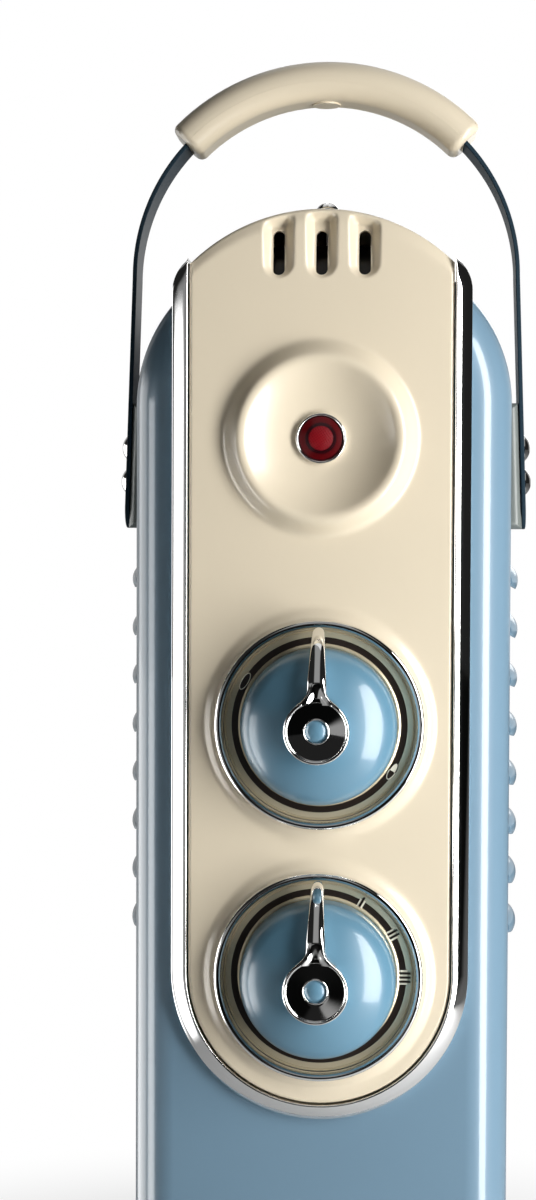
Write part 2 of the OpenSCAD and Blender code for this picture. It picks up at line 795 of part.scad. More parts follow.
module shaft(z) {
    color(steel) rod_y(shaft_r, 0, z, panel_y - 20, bracket_y + 14);
}

// Height at which the lamp's ring sits on the floor of the dish
lamp_h = dish_h(lamp_ring_r) + 0.02;
lamp_tube_r = 8.3;
lamp_tube_bore = 7.2;
lamp_web = 0.8;
lamp_core_r = 7;
lamp_nut_r = 11.5;

// Bright ring with the threaded tube that passes through the panel
module lamp_bezel() {
    color(chrome) turned(0, panel_y, lamp_z)
        polygon(concat([[lamp_tube_bore, lamp_h - 11], [lamp_tube_r, lamp_h - 11], [lamp_tube_r, lamp_h]],
            [[lamp_ring_r, lamp_h]],
            arc(lamp_ring_r - 0.5, lamp_h + 1.7, 0.5, 0, 180, 6),
            [[lamp_ring_r - 1, lamp_h + lamp_web], [lamp_tube_bore, lamp_h + lamp_web]]));
}

module lamp_lens() {
    dome_r = 27;
    color([0.55, 0.02, 0.05]) turned(0, panel_y, lamp_z)
        polygon(concat([[0, lamp_h - 3], [lamp_core_r, lamp_h - 3], [lamp_core_r, lamp_h + lamp_web]],
            [[lamp_lens_r, lamp_h + lamp_web]],
            arc(0, lamp_h + 2.8 - dome_r, dome_r, 90 - asin(lamp_lens_r / dome_r), 90, 6)));
}

// Lamp holder inside the tube, and the ring nut that clamps the lamp to the panel
module lamp_body() {
    nut_h = dish_h(lamp_nut_r) - panel_t - 0.1;
    nut_bore = lamp_tube_r + running_fit;
    color(black) turned(0, panel_y, lamp_z) {
        translate([0, lamp_h - 26]) square([lamp_core_r, 23]);
        polygon([[nut_bore, nut_h - 4], [lamp_nut_r, nut_h - 4], [lamp_nut_r, nut_h],
            [nut_bore, nut_h - 0.4]]);
    }
}

// Steel plate behind the housing's window that carries the controls
module control_bracket() {
    low = panel_foot_z - 14;
    high = shell_top - 50;
    color(steel) difference() {
        slab(bracket_y - bracket_t, bracket_y) translate([0, low]) round_rect(104, high - low, 6);
        rod_y(14, 0, lamp_z, bracket_y - 4, bracket_y + 1);
        for (z = [thermostat_z, selector_z]) rod_y(5.3, 0, z, bracket_y - 4, bracket_y + 1);
        for (p = panel_screw_places) rod_y(screw_hole_r, p[0], p[1], bracket_y - 4, bracket_y + 1);
    }
}

// Threaded bush of a control, bored for its shaft
module bush(z) {
    rod_y(5, 0, z, bracket_y - 7, bracket_y + 1);
}

module shaft_bore(z) {
    rod_y(shaft_r + running_fit, 0, z, bracket_y - 8, bracket_y + 14);
}

module thermostat_body() {
    color(black) difference() {
        union() {
            translate([-21, bracket_y, thermostat_z - 17]) cube([42, 22, 34]);
            bush(thermostat_z);
            for (x = [-15, 15]) translate([x - 3, bracket_y + 22, thermostat_z - 0.4]) cube([6, 9, 0.8]);
        }
        shaft_bore(thermostat_z);
    }
}

module selector_switch() {
    color(black) difference() {
        union() {
            rod_y(20, 0, selector_z, bracket_y, bracket_y + 19);
            bush(selector_z);
            for (a = [0 : 90 : 270]) translate([0, 0, selector_z]) rotate([0, a + 45, 0])
                translate([-3, bracket_y + 19, 12]) cube([6, 9, 0.8]);
        }
        shaft_bore(selector_z);
    }
}

module control_nuts() {
    color(steel) for (z = [thermostat_z, selector_z]) difference() {
        hex_y(8, 0, z, bracket_y - bracket_t - 3, bracket_y - bracket_t);
        rod_y(5 + running_fit, 0, z, bracket_y - 8, bracket_y);
    }
}

module thermal_cutout() {
    z = thermostat_z + 62;
    color(black) {
        rod_y(8, 24, z, bracket_y, bracket_y + 9);
        for (x = [20, 28]) translate([x - 3, bracket_y + 9, z - 0.4]) cube([6, 8, 0.8]);
    }
}

module terminal_block() {
    z = header_low_z + 60;
    color([0.85, 0.85, 0.82]) difference() {
        translate([-50, plate_front_y - 14, z]) cube([46, 14, 18]);
        for (k = [0 : 3]) {
            rod_y(2.4, -45 + 12 * k, z + 9, plate_front_y - 15, plate_front_y - 6);
            translate([-45 + 12 * k, plate_front_y - 9, z - 1]) cylinder(r = 1.8, h = 20);
        }
    }
}

// Flanged bush for the mains lead in the housing's bottom, held by a nut inside
module cable_gland() {
    color(black) translate([0, gland_y, shell_bottom]) difference() {
        union() {
            cylinder(r = gland_r, h = shell_t + 8);
            mirror([0, 0, 1]) rotate_extrude()
                polygon([[0, 0], [gland_r + 2, 0], [gland_r + 2, 2.5], [gland_r - 0.5, 9], [0, 9]]);
            translate([0, 0, shell_t]) cylinder(r = gland_r + 2.5, h = 5, $fn = 6);
        }
        translate([0, 0, -10]) cylinder(r = gland_bore_r, h = 30);
    }
}

function strap_face_x(z) = strap_r + (strap_z - z) * tan(strap_lean);

module handle_strap() {
    foot_x = arm_len * tan(strap_lean);
    color(slate) difference() {
        union() {
            slab(strap_y - strap_w / 2, strap_y + strap_w / 2) translate([0, strap_z]) difference() {
                circle(strap_r, $fn = 180);
                circle(strap_r - strap_t, $fn = 180);
                translate([-200, -200]) square([400, 200]);
            }
            both_sides() intersection() {
                slab(strap_y - strap_w / 2, strap_y + strap_w / 2) translate([strap_r, strap_z])
                    polygon([[0, 0], [-strap_t, 0], [foot_x - strap_t, -arm_len], [foot_x, -arm_len]]);
                across(0, 200) {
                    translate([strap_y, strap_end_z + strap_w / 2]) circle(strap_w / 2);
                    translate([strap_y - strap_w / 2, strap_end_z + strap_w / 2]) square([strap_w, arm_len]);
                }
            }
        }
        both_sides() for (z = strap_screw_zs)
            rod_x(strap_hole_r, strap_y, z, strap_r - 10, strap_r + 20);
    }
}

// Section of the whole grip: radius across, depth up
module grip_section() {
    translate([strap_r + grip_over - grip_t, 0]) rotate(-90) round_rect(grip_w, grip_t, grip_edge_r);
}

// Sweeps what lies between two radii along the grip's arc
module grip_sweep(r0, r1) {
    translate([0, strap_y, strap_z]) rotate([90, 0, 0])
        rotate_extrude(angle = 2 * grip_half_angle, start = 90 - grip_half_angle, $fn = 180) intersection() {
            grip_section();
            translate([r0, -40]) square([r1 - r0, 80]);
        }
}

grip_split_r = strap_r - strap_t / 2;

// Channel in both halves of the grip, into which the strap fits
module strap_channel() {
    translate([0, strap_y, strap_z]) rotate([90, 0, 0])
        rotate_extrude(angle = 2 * grip_half_angle + 4, start = 88 - grip_half_angle, $fn = 180)
            translate([strap_r - strap_t - 0.15, -strap_w / 2 - 0.2]) square([strap_t + 0.3, strap_w + 0.4]);
}

module grip_upper() {
    color(cream) difference() {
        grip_sweep(grip_split_r, strap_r + 20);
        strap_channel();
    }
}

module grip_lower() {
    inner_r = strap_r + grip_over - grip_t;
    color(cream) {
        difference() {
            grip_sweep(strap_r - 40, grip_split_r);
            strap_channel();
        }
        translate([0, strap_y, strap_z + inner_r - 0.8]) cylinder(r = 6, h = 2);
    }
}

module strap_spacers() {
    high_z = strap_end_z + spacer_h;
    gap = strap_t / cos(strap_lean);
    color(black) both_sides() difference() {
        intersection() {
            slab(strap_y - 20, strap_y + 20) polygon([[shell_w / 2, strap_end_z],
                [strap_face_x(strap_end_z) - gap, strap_end_z],
                [strap_face_x(high_z) - gap, high_z], [shell_w / 2, high_z]]);
            across(0, 200) translate([strap_y, (strap_end_z + high_z) / 2]) slot(strap_w + 2, spacer_h);
        }
        for (z = strap_screw_zs) rod_x(strap_hole_r, strap_y, z, 60, strap_r + 20);
    }
}

module strap_screws() {
    color(chrome) both_sides() for (z = strap_screw_zs)
        translate([strap_face_x(z) + 0.2, strap_y, z]) rotate([0, 90, 0]) {
            translate([0, 0, -14]) cylinder(r = strap_hole_r - 0.3, h = 14);
            rotate_extrude() polygon(concat([[0, 0], [strap_head_r, 0]], arc(0, -4.3, 7, 38, 90, 8)));
        }
}

module strap_nuts() {
    color(steel) both_sides() for (z = strap_screw_zs) difference() {
        translate([shell_w / 2 - shell_t - 4, strap_y, z]) rotate([0, 90, 0]) cylinder(r = 5, h = 4, $fn = 6);
        rod_x(strap_hole_r - 0.3 + running_fit, strap_y, z, shell_w / 2 - 8, shell_w / 2);
    }
}

// Places of the feet, and their heights from the castors up
foot_ys = [joint_y(1), joint_y(fin_count - 1)];
hood_top = 2 * wheel_r + 7;
pad_z = hood_top + 10.5;
saddle_z = header_low_z - collar_r - seat_gap;
sleeve_r = 7;

module foot(y) {
    pad = 14;
    outline = [[-castor_x - pad, pad_z], [-castor_x + pad, pad_z], [-34, saddle_z], [34, saddle_z],
        [castor_x - pad, pad_z], [castor_x + pad, pad_z]];
    module band(depth) {
        polygon(concat(outline, [for (k = [5 : -1 : 0]) outline[k] - [0, depth]]));
    }
    color(black) difference() {
        union() {
            intersection() {
                union() {
                    slab(y - foot_w / 2, y + foot_w / 2) band(foot_t);
                    for (rim_y = [y - foot_w / 2, y + foot_w / 2 - 2]) slab(rim_y, rim_y + 2) band(7);
                }
                translate([0, y, 0]) linear_extrude(200) rotate(90) slot(foot_w, 2 * (castor_x + pad));
            }
            both_sides() translate([castor_x, y, hood_top + seat_gap]) cylinder(r = sleeve_r, h = 20);
        }
        both_sides() translate([castor_x, y, hood_top - 1]) cylinder(r = stem_r + running_fit, h = 40);
        both_sides() translate([clamp_x, y, saddle_z - 20]) cylinder(r = clamp_rod_r + 0.3, h = 40);
    }
}

clamp_x = collar_r + seat_gap + clamp_rod_r;

// A rod bent over the header's collars, one for each foot
module foot_clamps() {
    color(steel) for (y = foot_ys) translate([0, y, header_low_z]) {
        rotate([90, 0, 0]) rotate_extrude(angle = 180) translate([clamp_x, 0]) circle(clamp_rod_r, $fn = 32);
        for (side = [-1, 1]) translate([side * clamp_x, 0, saddle_z - 14 - header_low_z])
            cylinder(r = clamp_rod_r, h = header_low_z - saddle_z + 14, $fn = 32);
    }
}

module wing_nuts() {
    top = saddle_z - foot_t;
    color(steel) both_sides() for (y = foot_ys) translate([clamp_x, y, top]) difference() {
        union() {
            translate([0, 0, -6]) cylinder(r = 4.6, h = 6);
            slab(-0.9, 0.9) for (side = [-1, 1])
                polygon([[side * 3, -5], [side * 9, -10], [side * 11, -8.5], [side * 10.5, -6],
                    [side * 3, -1]]);
        }
        translate([0, 0, -20]) cylinder(r = clamp_rod_r + running_fit, h = 30, $fn = 32);
    }
}

castors = [for (y = foot_ys, x = [castor_x, -castor_x]) [x, y]];
wheel_x = 3.8;

// Hood and fork of a castor, with the pin on which it swivels
module castor_hood(i) {
    hood_w = wheel_x + wheel_w + 0.2;
    web_x = wheel_x - 0.5;
    color(black) translate([castors[i - 1][0], castors[i - 1][1], 0]) {
        difference() {
            union() {
                translate([0, castor_trail, wheel_r]) rotate([90, 0, 90])
                    rotate_extrude(angle = 165, start = 15)
                        translate([wheel_r + 0.8, -hood_w]) square([2.2, 2 * hood_w]);
                translate([0, 0, wheel_r]) cylinder(r = 8.5, h = hood_top - wheel_r);
                rod_x(wheel_r - 3, castor_trail, wheel_r, -web_x, web_x);
            }
            both_sides() rod_x(wheel_r + 0.8, castor_trail, wheel_r, web_x, hood_w + 5);
            translate([-20, -30, 0]) cube([40, 60, 4]);
            rod_x(axle_r + running_fit, castor_trail, wheel_r, -20, 20);
        }
        translate([0, 0, hood_top]) cylinder(r = stem_r, h = 19);
    }
}

// A pair of wheels and the axle that carries them
module castor_wheels(i) {
    color([0.2, 0.2, 0.21]) translate([castors[i - 1][0], castors[i - 1][1] + castor_trail, wheel_r]) {
        rod_x(axle_r, 0, 0, -wheel_x - wheel_w + 1.5, wheel_x + wheel_w - 1.5);
        both_sides() translate([wheel_x, 0, 0]) rotate([0, 90, 0]) rotate_extrude()
            polygon([[axle_r + running_fit, 0], [wheel_r - 1, 0], [wheel_r, 1], [wheel_r, wheel_w - 1.5],
                [wheel_r - 1.5, wheel_w], [wheel_r - 4, wheel_w], [wheel_r - 5, wheel_w - 1.6],
                [7, wheel_w - 1.6], [6, wheel_w - 0.6], [axle_r + running_fit, wheel_w - 0.6]]);
    }
}

for (i = [1 : fin_count]) fin(i);
header_caps();
heating_element();
element_plug();
front_housing();
back_plate();
back_plate_screws();
housing_nut();
control_panel();
panel_screws();
top_screw();
chrome_trim();
bezel(thermostat_z);  // thermostat_bezel
bezel(selector_z);  // selector_bezel
thermostat_dial();
selector_dial();
lamp_bezel();
lamp_lens();
lamp_body();
control_bracket();
thermostat_body();
selector_switch();
control_nuts();
thermal_cutout();
terminal_block();
cable_gland();
knob(thermostat_z);  // thermostat_knob
pointer(thermostat_z);  // thermostat_pointer
cap(thermostat_z);  // thermostat_cap
shaft(thermostat_z);  // thermostat_shaft
knob(selector_z);  // selector_knob
pointer(selector_z);  // selector_pointer
cap(selector_z);  // selector_cap
shaft(selector_z);  // selector_shaft
handle_strap();
grip_upper();
grip_lower();
strap_spacers();
strap_screws();
strap_nuts();
foot(foot_ys[0]);  // front_foot
foot(foot_ys[1]);  // rear_foot
foot_clamps();
wing_nuts();
for (i = [1 : 4]) {
    castor_hood(i);
    castor_wheels(i);
}
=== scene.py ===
"""Oil-filled radiator with a rounded front housing, a moulded control panel and a bow handle.

Everything is in metres, in the frame of the CAD model: X across, Y from front to back, Z up.
"""

import json
import math

import bmesh
import bpy
from bpy.props import FloatProperty, FloatVectorProperty, IntProperty, PointerProperty
from mathutils import Matrix, Vector

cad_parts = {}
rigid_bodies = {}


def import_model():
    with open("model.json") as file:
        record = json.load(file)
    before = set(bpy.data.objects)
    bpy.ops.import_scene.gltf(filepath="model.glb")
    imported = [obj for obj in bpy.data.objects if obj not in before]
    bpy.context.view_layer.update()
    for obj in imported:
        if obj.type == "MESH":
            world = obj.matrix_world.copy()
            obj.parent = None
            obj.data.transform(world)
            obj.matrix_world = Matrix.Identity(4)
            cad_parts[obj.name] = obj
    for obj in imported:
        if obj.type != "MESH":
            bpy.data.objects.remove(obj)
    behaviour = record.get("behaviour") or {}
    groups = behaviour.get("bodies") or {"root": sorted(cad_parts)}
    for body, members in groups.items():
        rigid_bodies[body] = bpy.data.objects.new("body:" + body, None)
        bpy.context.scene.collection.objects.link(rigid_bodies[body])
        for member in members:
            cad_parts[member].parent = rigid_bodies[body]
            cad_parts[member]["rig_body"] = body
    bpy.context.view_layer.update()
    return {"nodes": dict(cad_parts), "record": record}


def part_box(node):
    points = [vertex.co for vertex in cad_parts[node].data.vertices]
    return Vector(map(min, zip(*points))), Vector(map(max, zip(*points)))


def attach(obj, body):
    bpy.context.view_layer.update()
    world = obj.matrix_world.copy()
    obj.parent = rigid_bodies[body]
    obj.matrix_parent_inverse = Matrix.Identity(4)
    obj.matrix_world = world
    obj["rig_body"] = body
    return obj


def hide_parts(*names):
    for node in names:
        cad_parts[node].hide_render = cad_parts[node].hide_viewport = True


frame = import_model()

bl_info = {
    "name": "Oil-Filled Radiator",
    "version": (1, 0, 0),
    "blender": (4, 5, 0),
    "location": "3D View > Sidebar > Radiator",
    "description": "Builds the radiator's visible pieces, finishes and studio round its CAD frame",
    "category": "Object",
}

MM = 0.001
BODY = "radiator"
TURN = 2 * math.pi

# Driving sizes of the panel's arched roof and of the handle's bow, in millimetres
PANEL_HALF, PANEL_DEPTH = 53.5, 79.0
ARCH_R, ROOF_SLOPE = 77.0, math.radians(8)
STRAP_R, STRAP_T, STRAP_W, STRAP_ARM, STRAP_LEAN = 81.6, 1.8, 20.0, 106.2, math.radians(1.9)

# Places taken from the CAD nodes
SHELL_LOW, SHELL_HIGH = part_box("front_housing")
PANEL_LOW, PANEL_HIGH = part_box("control_panel")
STRAP_LOW, STRAP_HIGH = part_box("handle_strap")
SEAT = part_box("thermostat_bezel")[1].y
FACE = SHELL_LOW.y
REAR = SHELL_HIGH.y


def middle_height(node):
    low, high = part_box(node)
    return (low.z + high.z) / 2


THERMOSTAT_Z = middle_height("thermostat_bezel")
SELECTOR_Z = middle_height("selector_bezel")
LAMP_Z = middle_height("lamp_bezel")
PANEL_FOOT_Z = PANEL_LOW.z + PANEL_HALF * MM
ARCH_Z = PANEL_HIGH.z - PANEL_DEPTH * MM * math.tan(ROOF_SLOPE)
STRAP_Y = (STRAP_LOW.y + STRAP_HIGH.y) / 2
STRAP_Z = STRAP_HIGH.z - STRAP_R * MM


# Sizes and colours


class RadiatorSizes(bpy.types.PropertyGroup):
    housing_width: FloatProperty(
        name="Housing Width", description="Width of the front housing without its louvres",
        default=0.156, min=0.12, max=0.2, unit="LENGTH")
    housing_corner: FloatProperty(
        name="Housing Corner", description="Corner radius of the housing seen from the front",
        default=0.066, min=0.03, max=0.075, unit="LENGTH")
    housing_edge: FloatProperty(
        name="Housing Edge", description="Rounding between the housing's front and its sides",
        default=0.018, min=0.004, max=0.02, unit="LENGTH")
    louvre_count: IntProperty(
        name="Louvres", description="Number of louvres on each side of the housing",
        default=8, min=1, max=12)
    louvre_pitch: FloatProperty(
        name="Louvre Pitch", description="Distance from one louvre to the next",
        default=0.0207, min=0.015, max=0.03, unit="LENGTH")
    panel_width: FloatProperty(
        name="Panel Width", description="Width of the moulded control panel",
        default=0.107, min=0.09, max=0.115, unit="LENGTH")
    panel_edge: FloatProperty(
        name="Panel Edge", description="Rounding along the panel's front edge",
        default=0.0016, min=0.0005, max=0.003, unit="LENGTH")
    knob_radius: FloatProperty(
        name="Knob Radius", description="Radius of a knob's skirt",
        default=0.0315, min=0.025, max=0.033, unit="LENGTH")
    trim_width: FloatProperty(
        name="Trim Width", description="Width of the bright trim round the panel",
        default=0.0068, min=0.005, max=0.01, unit="LENGTH")
    grip_end: FloatProperty(
        name="Grip End", description="Rounding of the grip's ends",
        default=0.0048, min=0.001, max=0.006, unit="LENGTH")


class RadiatorColours(bpy.types.PropertyGroup):
    enamel: FloatVectorProperty(
        name="Enamel", description="Blue enamel of the housing and the fins",
        default=(0.161, 0.264, 0.351), size=3, min=0, max=1, subtype="COLOR")
    moulding: FloatVectorProperty(
        name="Moulding", description="Cream plastic of the panel and the grip",
        default=(0.735, 0.645, 0.490), size=3, min=0, max=1, subtype="COLOR")
    knob: FloatVectorProperty(
        name="Knob", description="Blue plastic of the knobs",
        default=(0.112, 0.250, 0.352), size=3, min=0, max=1, subtype="COLOR")
    strap: FloatVectorProperty(
        name="Strap", description="Dark paint of the handle's strap",
        default=(0.020, 0.036, 0.050), size=3, min=0, max=1, subtype="COLOR")
    lamp: FloatVectorProperty(
        name="Lamp", description="Red of the pilot lamp's lens",
        default=(0.25, 0.003, 0.008), size=3, min=0, max=1, subtype="COLOR")
    champagne: FloatVectorProperty(
        name="Champagne", description="Paint of the dials' stepped rings",
        default=(0.78, 0.67, 0.46), size=3, min=0, max=1, subtype="COLOR")


def sizes():
    return bpy.context.scene.radiator_sizes


def colours():
    return bpy.context.scene.radiator_colours


# Mesh helpers


def arc(cx, cy, r, start, end, steps):
    """Points of a circular arc, with its angles in degrees."""
    angles = [math.radians(start + (end - start) * k / steps) for k in range(steps + 1)]
    return [(cx + r * math.cos(a), cy + r * math.sin(a)) for a in angles]


def ease(value, start, end):
    """Smooth step from 0 to 1 as a value passes from start to end."""
    t = min(1.0, max(0.0, (value - start) / (end - start)))
    return t * t * (3 - 2 * t)


def chain(bm, points, closed=False):
    """Adds the points and the edges that join them, and gives both."""
    verts = [bm.verts.new(p) for p in points]
    ends = verts[1:] + (verts[:1] if closed else [])
    edges = [bm.edges.new(pair) for pair in zip(verts, ends)]
    return verts, edges


def turned(bm, profile, centre, steps=96, closed=False):
    """Turns a profile of (radius, height towards the front) pairs about an axis along Y through centre."""
    cx, cy, cz = centre
    verts, edges = chain(bm, [(cx + r * MM, cy - h * MM, cz) for r, h in profile], closed)
    bmesh.ops.spin(bm, geom=verts + edges, cent=centre, axis=(0, 1, 0), dvec=(0, 0, 0), angle=TURN,
                   steps=steps, use_merge=True)
    close_up(bm)


def close_up(bm):
    """Merges doubled points and turns the faces outwards."""
    bmesh.ops.remove_doubles(bm, verts=bm.verts[:], dist=1e-7)
    bmesh.ops.recalc_face_normals(bm, faces=bm.faces[:])


def bevel(bm, edges, offset, segments):
    """Rounds edges by the same width on both sides."""
    bmesh.ops.bevel(bm, geom=edges, offset=offset, offset_type="OFFSET", affect="EDGES",
                    segments=segments, profile=0.5, material=-1, clamp_overlap=True)


def block(bm, low, high):
    """Adds a box between two corners and gives its points."""
    low, high = Vector(low), Vector(high)
    verts = bmesh.ops.create_cube(bm, size=1.0)["verts"]
    bmesh.ops.scale(bm, vec=high - low, verts=verts)
    bmesh.ops.translate(bm, vec=(low + high) / 2, verts=verts)
    return verts


def new_points(made):
    """The points among what an operator gives."""
    return [g for g in made if isinstance(g, bmesh.types.BMVert)]


def mirror_across(bm, merge=1e-7):
    """Adds the other half of what is symmetrical across X = 0."""
    bmesh.ops.mirror(bm, geom=bm.verts[:] + bm.edges[:] + bm.faces[:], axis="X", merge_dist=merge)
    close_up(bm)


def loose(name, bm):
    """Makes an object that belongs to no body, such as a cutter."""
    mesh = bpy.data.meshes.new(name)
    bm.to_mesh(mesh)
    bm.free()
    obj = bpy.data.objects.new(name, mesh)
    bpy.context.scene.collection.objects.link(obj)
    return obj


def settle(obj):
    """Applies an object's modifiers to its mesh."""
    graph = bpy.context.evaluated_depsgraph_get()
    mesh = bpy.data.meshes.new_from_object(obj.evaluated_get(graph))
    obj.modifiers.clear()
    obj.data = mesh


def cut(obj, *cutters):
    """Takes the cutters' volumes out of an object."""
    for cutter in cutters:
        step = obj.modifiers.new("Cut", "BOOLEAN")
        step.operation = "DIFFERENCE"
        step.solver = "EXACT"
        step.object = cutter
    settle(obj)
    for cutter in cutters:
        bpy.data.objects.remove(cutter)


def smooth(obj, angle=32):
    """Shades a piece smoothly, with sharp edges above an angle and normals that keep flat faces flat."""
    mesh = obj.data
    mesh.polygons.foreach_set("use_smooth", [True] * len(mesh.polygons))
    mesh.set_sharp_from_angle(angle=math.radians(angle))
    weighted = obj.modifiers.new("Weighted", "WEIGHTED_NORMAL")
    weighted.keep_sharp = True
    weighted.weight = 80


def soft_edges(obj, width, segments=3, angle=35):
    """Rounds the sharp edges of a piece."""
    step = obj.modifiers.new("Edges", "BEVEL")
    step.width = width
    step.segments = segments
    step.limit_method = "ANGLE"
    step.angle_limit = math.radians(angle)
    step.harden_normals = False
    step.use_clamp_overlap = True


def place(obj, materials, body, slot, *nodes):
    """Gives a piece its materials and its body, and hides the CAD nodes that it stands for. The slot is not
    used.
    """
    for material in materials:
        obj.data.materials.append(material)
    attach(obj, body)
    if nodes:
        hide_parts(*nodes)


# Finishes


DUST = (0.55, 0.52, 0.48, 1)
# Near-black painted shade for the part of the housing behind the panel
PAINTED_SHADE = (0.006, 0.006, 0.007, 1)
ENAMEL_COAT = 0.6


def wire(tree, source, target):
    """Links a socket to an input, or gives the input a value of its own."""
    if isinstance(source, bpy.types.NodeSocket):
        tree.links.new(source, target)
    else:
        target.default_value = source


def feed(tree, node, inputs):
    """Feeds a node's inputs, given by name or number, with sockets or values."""
    for name, value in inputs.items():
        wire(tree, value, node.inputs[name])


def add(tree, kind, inputs=None, **properties):
    """Adds a node, sets its properties and feeds its inputs with sockets or values."""
    node = tree.nodes.new(kind)
    for name, value in properties.items():
        setattr(node, name, value)
    feed(tree, node, inputs or {})
    return node


def object_place(tree):
    """Object coordinates."""
    return add(tree, "ShaderNodeTexCoord").outputs["Object"]


def maths(tree, operation, *values):
    """Result of a Math node whose inputs are sockets or numbers."""
    return add(tree, "ShaderNodeMath", dict(enumerate(values)), operation=operation).outputs[0]


def product(tree, first, *others):
    """Product of sockets or numbers, of which the first is a socket."""
    for other in others:
        first = maths(tree, "MULTIPLY", first, other)
    return first


def ramp(tree, value, from_min, from_max, to_min=0.0, to_max=1.0, shape="SMOOTHSTEP"):
    """Change from one value to another as a socket's value passes through a range."""
    node = add(tree, "ShaderNodeMapRange", {
        "Value": value, "From Min": from_min, "From Max": from_max, "To Min": to_min, "To Max": to_max,
    }, interpolation_type=shape)
    return node.outputs["Result"]


def blend(tree, share, first, second, mode="MIX"):
    """Colour between two, by the second one's share."""
    node = add(tree, "ShaderNodeMix", {0: share, 6: first, 7: second}, data_type="RGBA", blend_type=mode)
    return node.outputs[2]


def socket(group, name, kind, way, default=None):
    """Gives a node group an input or an output."""
    made = group.interface.new_socket(name=name, in_out=way, socket_type=kind)
    if default is not None:
        made.default_value = default


def surface_group(name):
    """Node group for small surface relief: fine grain and long soft waves, as a height."""
    group = bpy.data.node_groups.new(name, "ShaderNodeTree")
    for label, value in (("Grain Scale", 1400.0), ("Wave Scale", 90.0), ("Wave Share", 0.3)):
        socket(group, label, "NodeSocketFloat", "INPUT", value)
    socket(group, "Height", "NodeSocketFloat", "OUTPUT")
    given = add(group, "NodeGroupInput").outputs
    where = object_place(group)
    grain = add(group, "ShaderNodeTexNoise", {"Vector": where, "Scale": given["Grain Scale"], "Detail": 2.0})
    wave = add(group, "ShaderNodeTexNoise", {"Vector": where, "Scale": given["Wave Scale"], "Detail": 1.0})
    height = add(group, "ShaderNodeMix", {
        0: given["Wave Share"], 2: grain.outputs["Fac"], 3: wave.outputs["Fac"],
    }, data_type="FLOAT")
    add(group, "NodeGroupOutput", {"Height": height.outputs[0]})
    return group


def tone_group(name):
    """Node group for slow changes of colour and roughness, with dust on what faces up."""
    group = bpy.data.node_groups.new(name, "ShaderNodeTree")
    socket(group, "Colour", "NodeSocketColor", "INPUT", (0.5, 0.5, 0.5, 1))
    for label, value in (("Patch Scale", 14.0), ("Patch Depth", 0.06), ("Dust", 0.05), ("Roughness", 0.3)):
        socket(group, label, "NodeSocketFloat", "INPUT", value)
    socket(group, "Colour Out", "NodeSocketColor", "OUTPUT")
    socket(group, "Roughness Out", "NodeSocketFloat", "OUTPUT")
    given = add(group, "NodeGroupInput").outputs
    patch = add(group, "ShaderNodeTexNoise", {
        "Vector": object_place(group), "Scale": given["Patch Scale"], "Detail": 4.0})
    # A patch is as much brighter or darker than the colour as the noise is off its middle
    uneven = product(group, maths(group, "SUBTRACT", patch.outputs["Fac"], 0.5), given["Patch Depth"])
    bright = maths(group, "MULTIPLY_ADD", uneven, 2.0, 1.0)
    tint = add(group, "ShaderNodeVectorMath", {0: given["Colour"], "Scale": bright}, operation="SCALE")
    normal = add(group, "ShaderNodeNewGeometry").outputs["Normal"]
    up = add(group, "ShaderNodeSeparateXYZ", {0: normal}).outputs["Z"]
    dust = product(group, ramp(group, up, 0.55, 1.0, shape="LINEAR"), given["Dust"])
    rough = maths(group, "ADD", maths(group, "MULTIPLY_ADD", uneven, 0.35, given["Roughness"]), dust)
    add(group, "NodeGroupOutput", {
        "Colour Out": blend(group, dust, tint.outputs[0], DUST), "Roughness Out": rough})
    return group


def use_group(tree, name, make, inputs):
    """Outputs of a node that holds the group of that name, which is made on first use."""
    group = bpy.data.node_groups.get(name) or make(name)
    return add(tree, "ShaderNodeGroup", inputs, node_tree=group).outputs


def fresh(name):
    """A new material with its node tree and its shader."""
    material = bpy.data.materials.new(name)
    material.use_nodes = True
    return material, material.node_tree, material.node_tree.nodes["Principled BSDF"]


def finish(name, colour, roughness, metallic=0.0, coat=0.0, coat_roughness=0.03, grain=(1400.0, 90.0, 0.3),
           relief=0.00002, patch=(14.0, 0.06), dust=0.04, specular=0.5):
    """A material of the shared kind: tone, dust and fine relief under one shader.

    The grain is a scale, a wave's scale and the wave's share; the patch is a scale and a depth.
    """
    material, tree, shader = fresh(name)
    tone = use_group(tree, "Tone and Dust", tone_group, {
        "Colour": (*colour, 1), "Patch Scale": patch[0], "Patch Depth": patch[1], "Dust": dust,
        "Roughness": roughness})
    surface = use_group(tree, "Surface Relief", surface_group, {
        "Grain Scale": grain[0], "Wave Scale": grain[1], "Wave Share": grain[2]})
    bump = add(tree, "ShaderNodeBump", {"Distance": relief, "Strength": 1.0, "Height": surface["Height"]})
    feed(tree, shader, {
        "Base Color": tone["Colour Out"], "Roughness": tone["Roughness Out"], "Metallic": metallic,
        "Specular IOR Level": specular, "Coat Weight": coat, "Coat Roughness": coat_roughness,
        "Normal": bump.outputs["Normal"]})
    return material


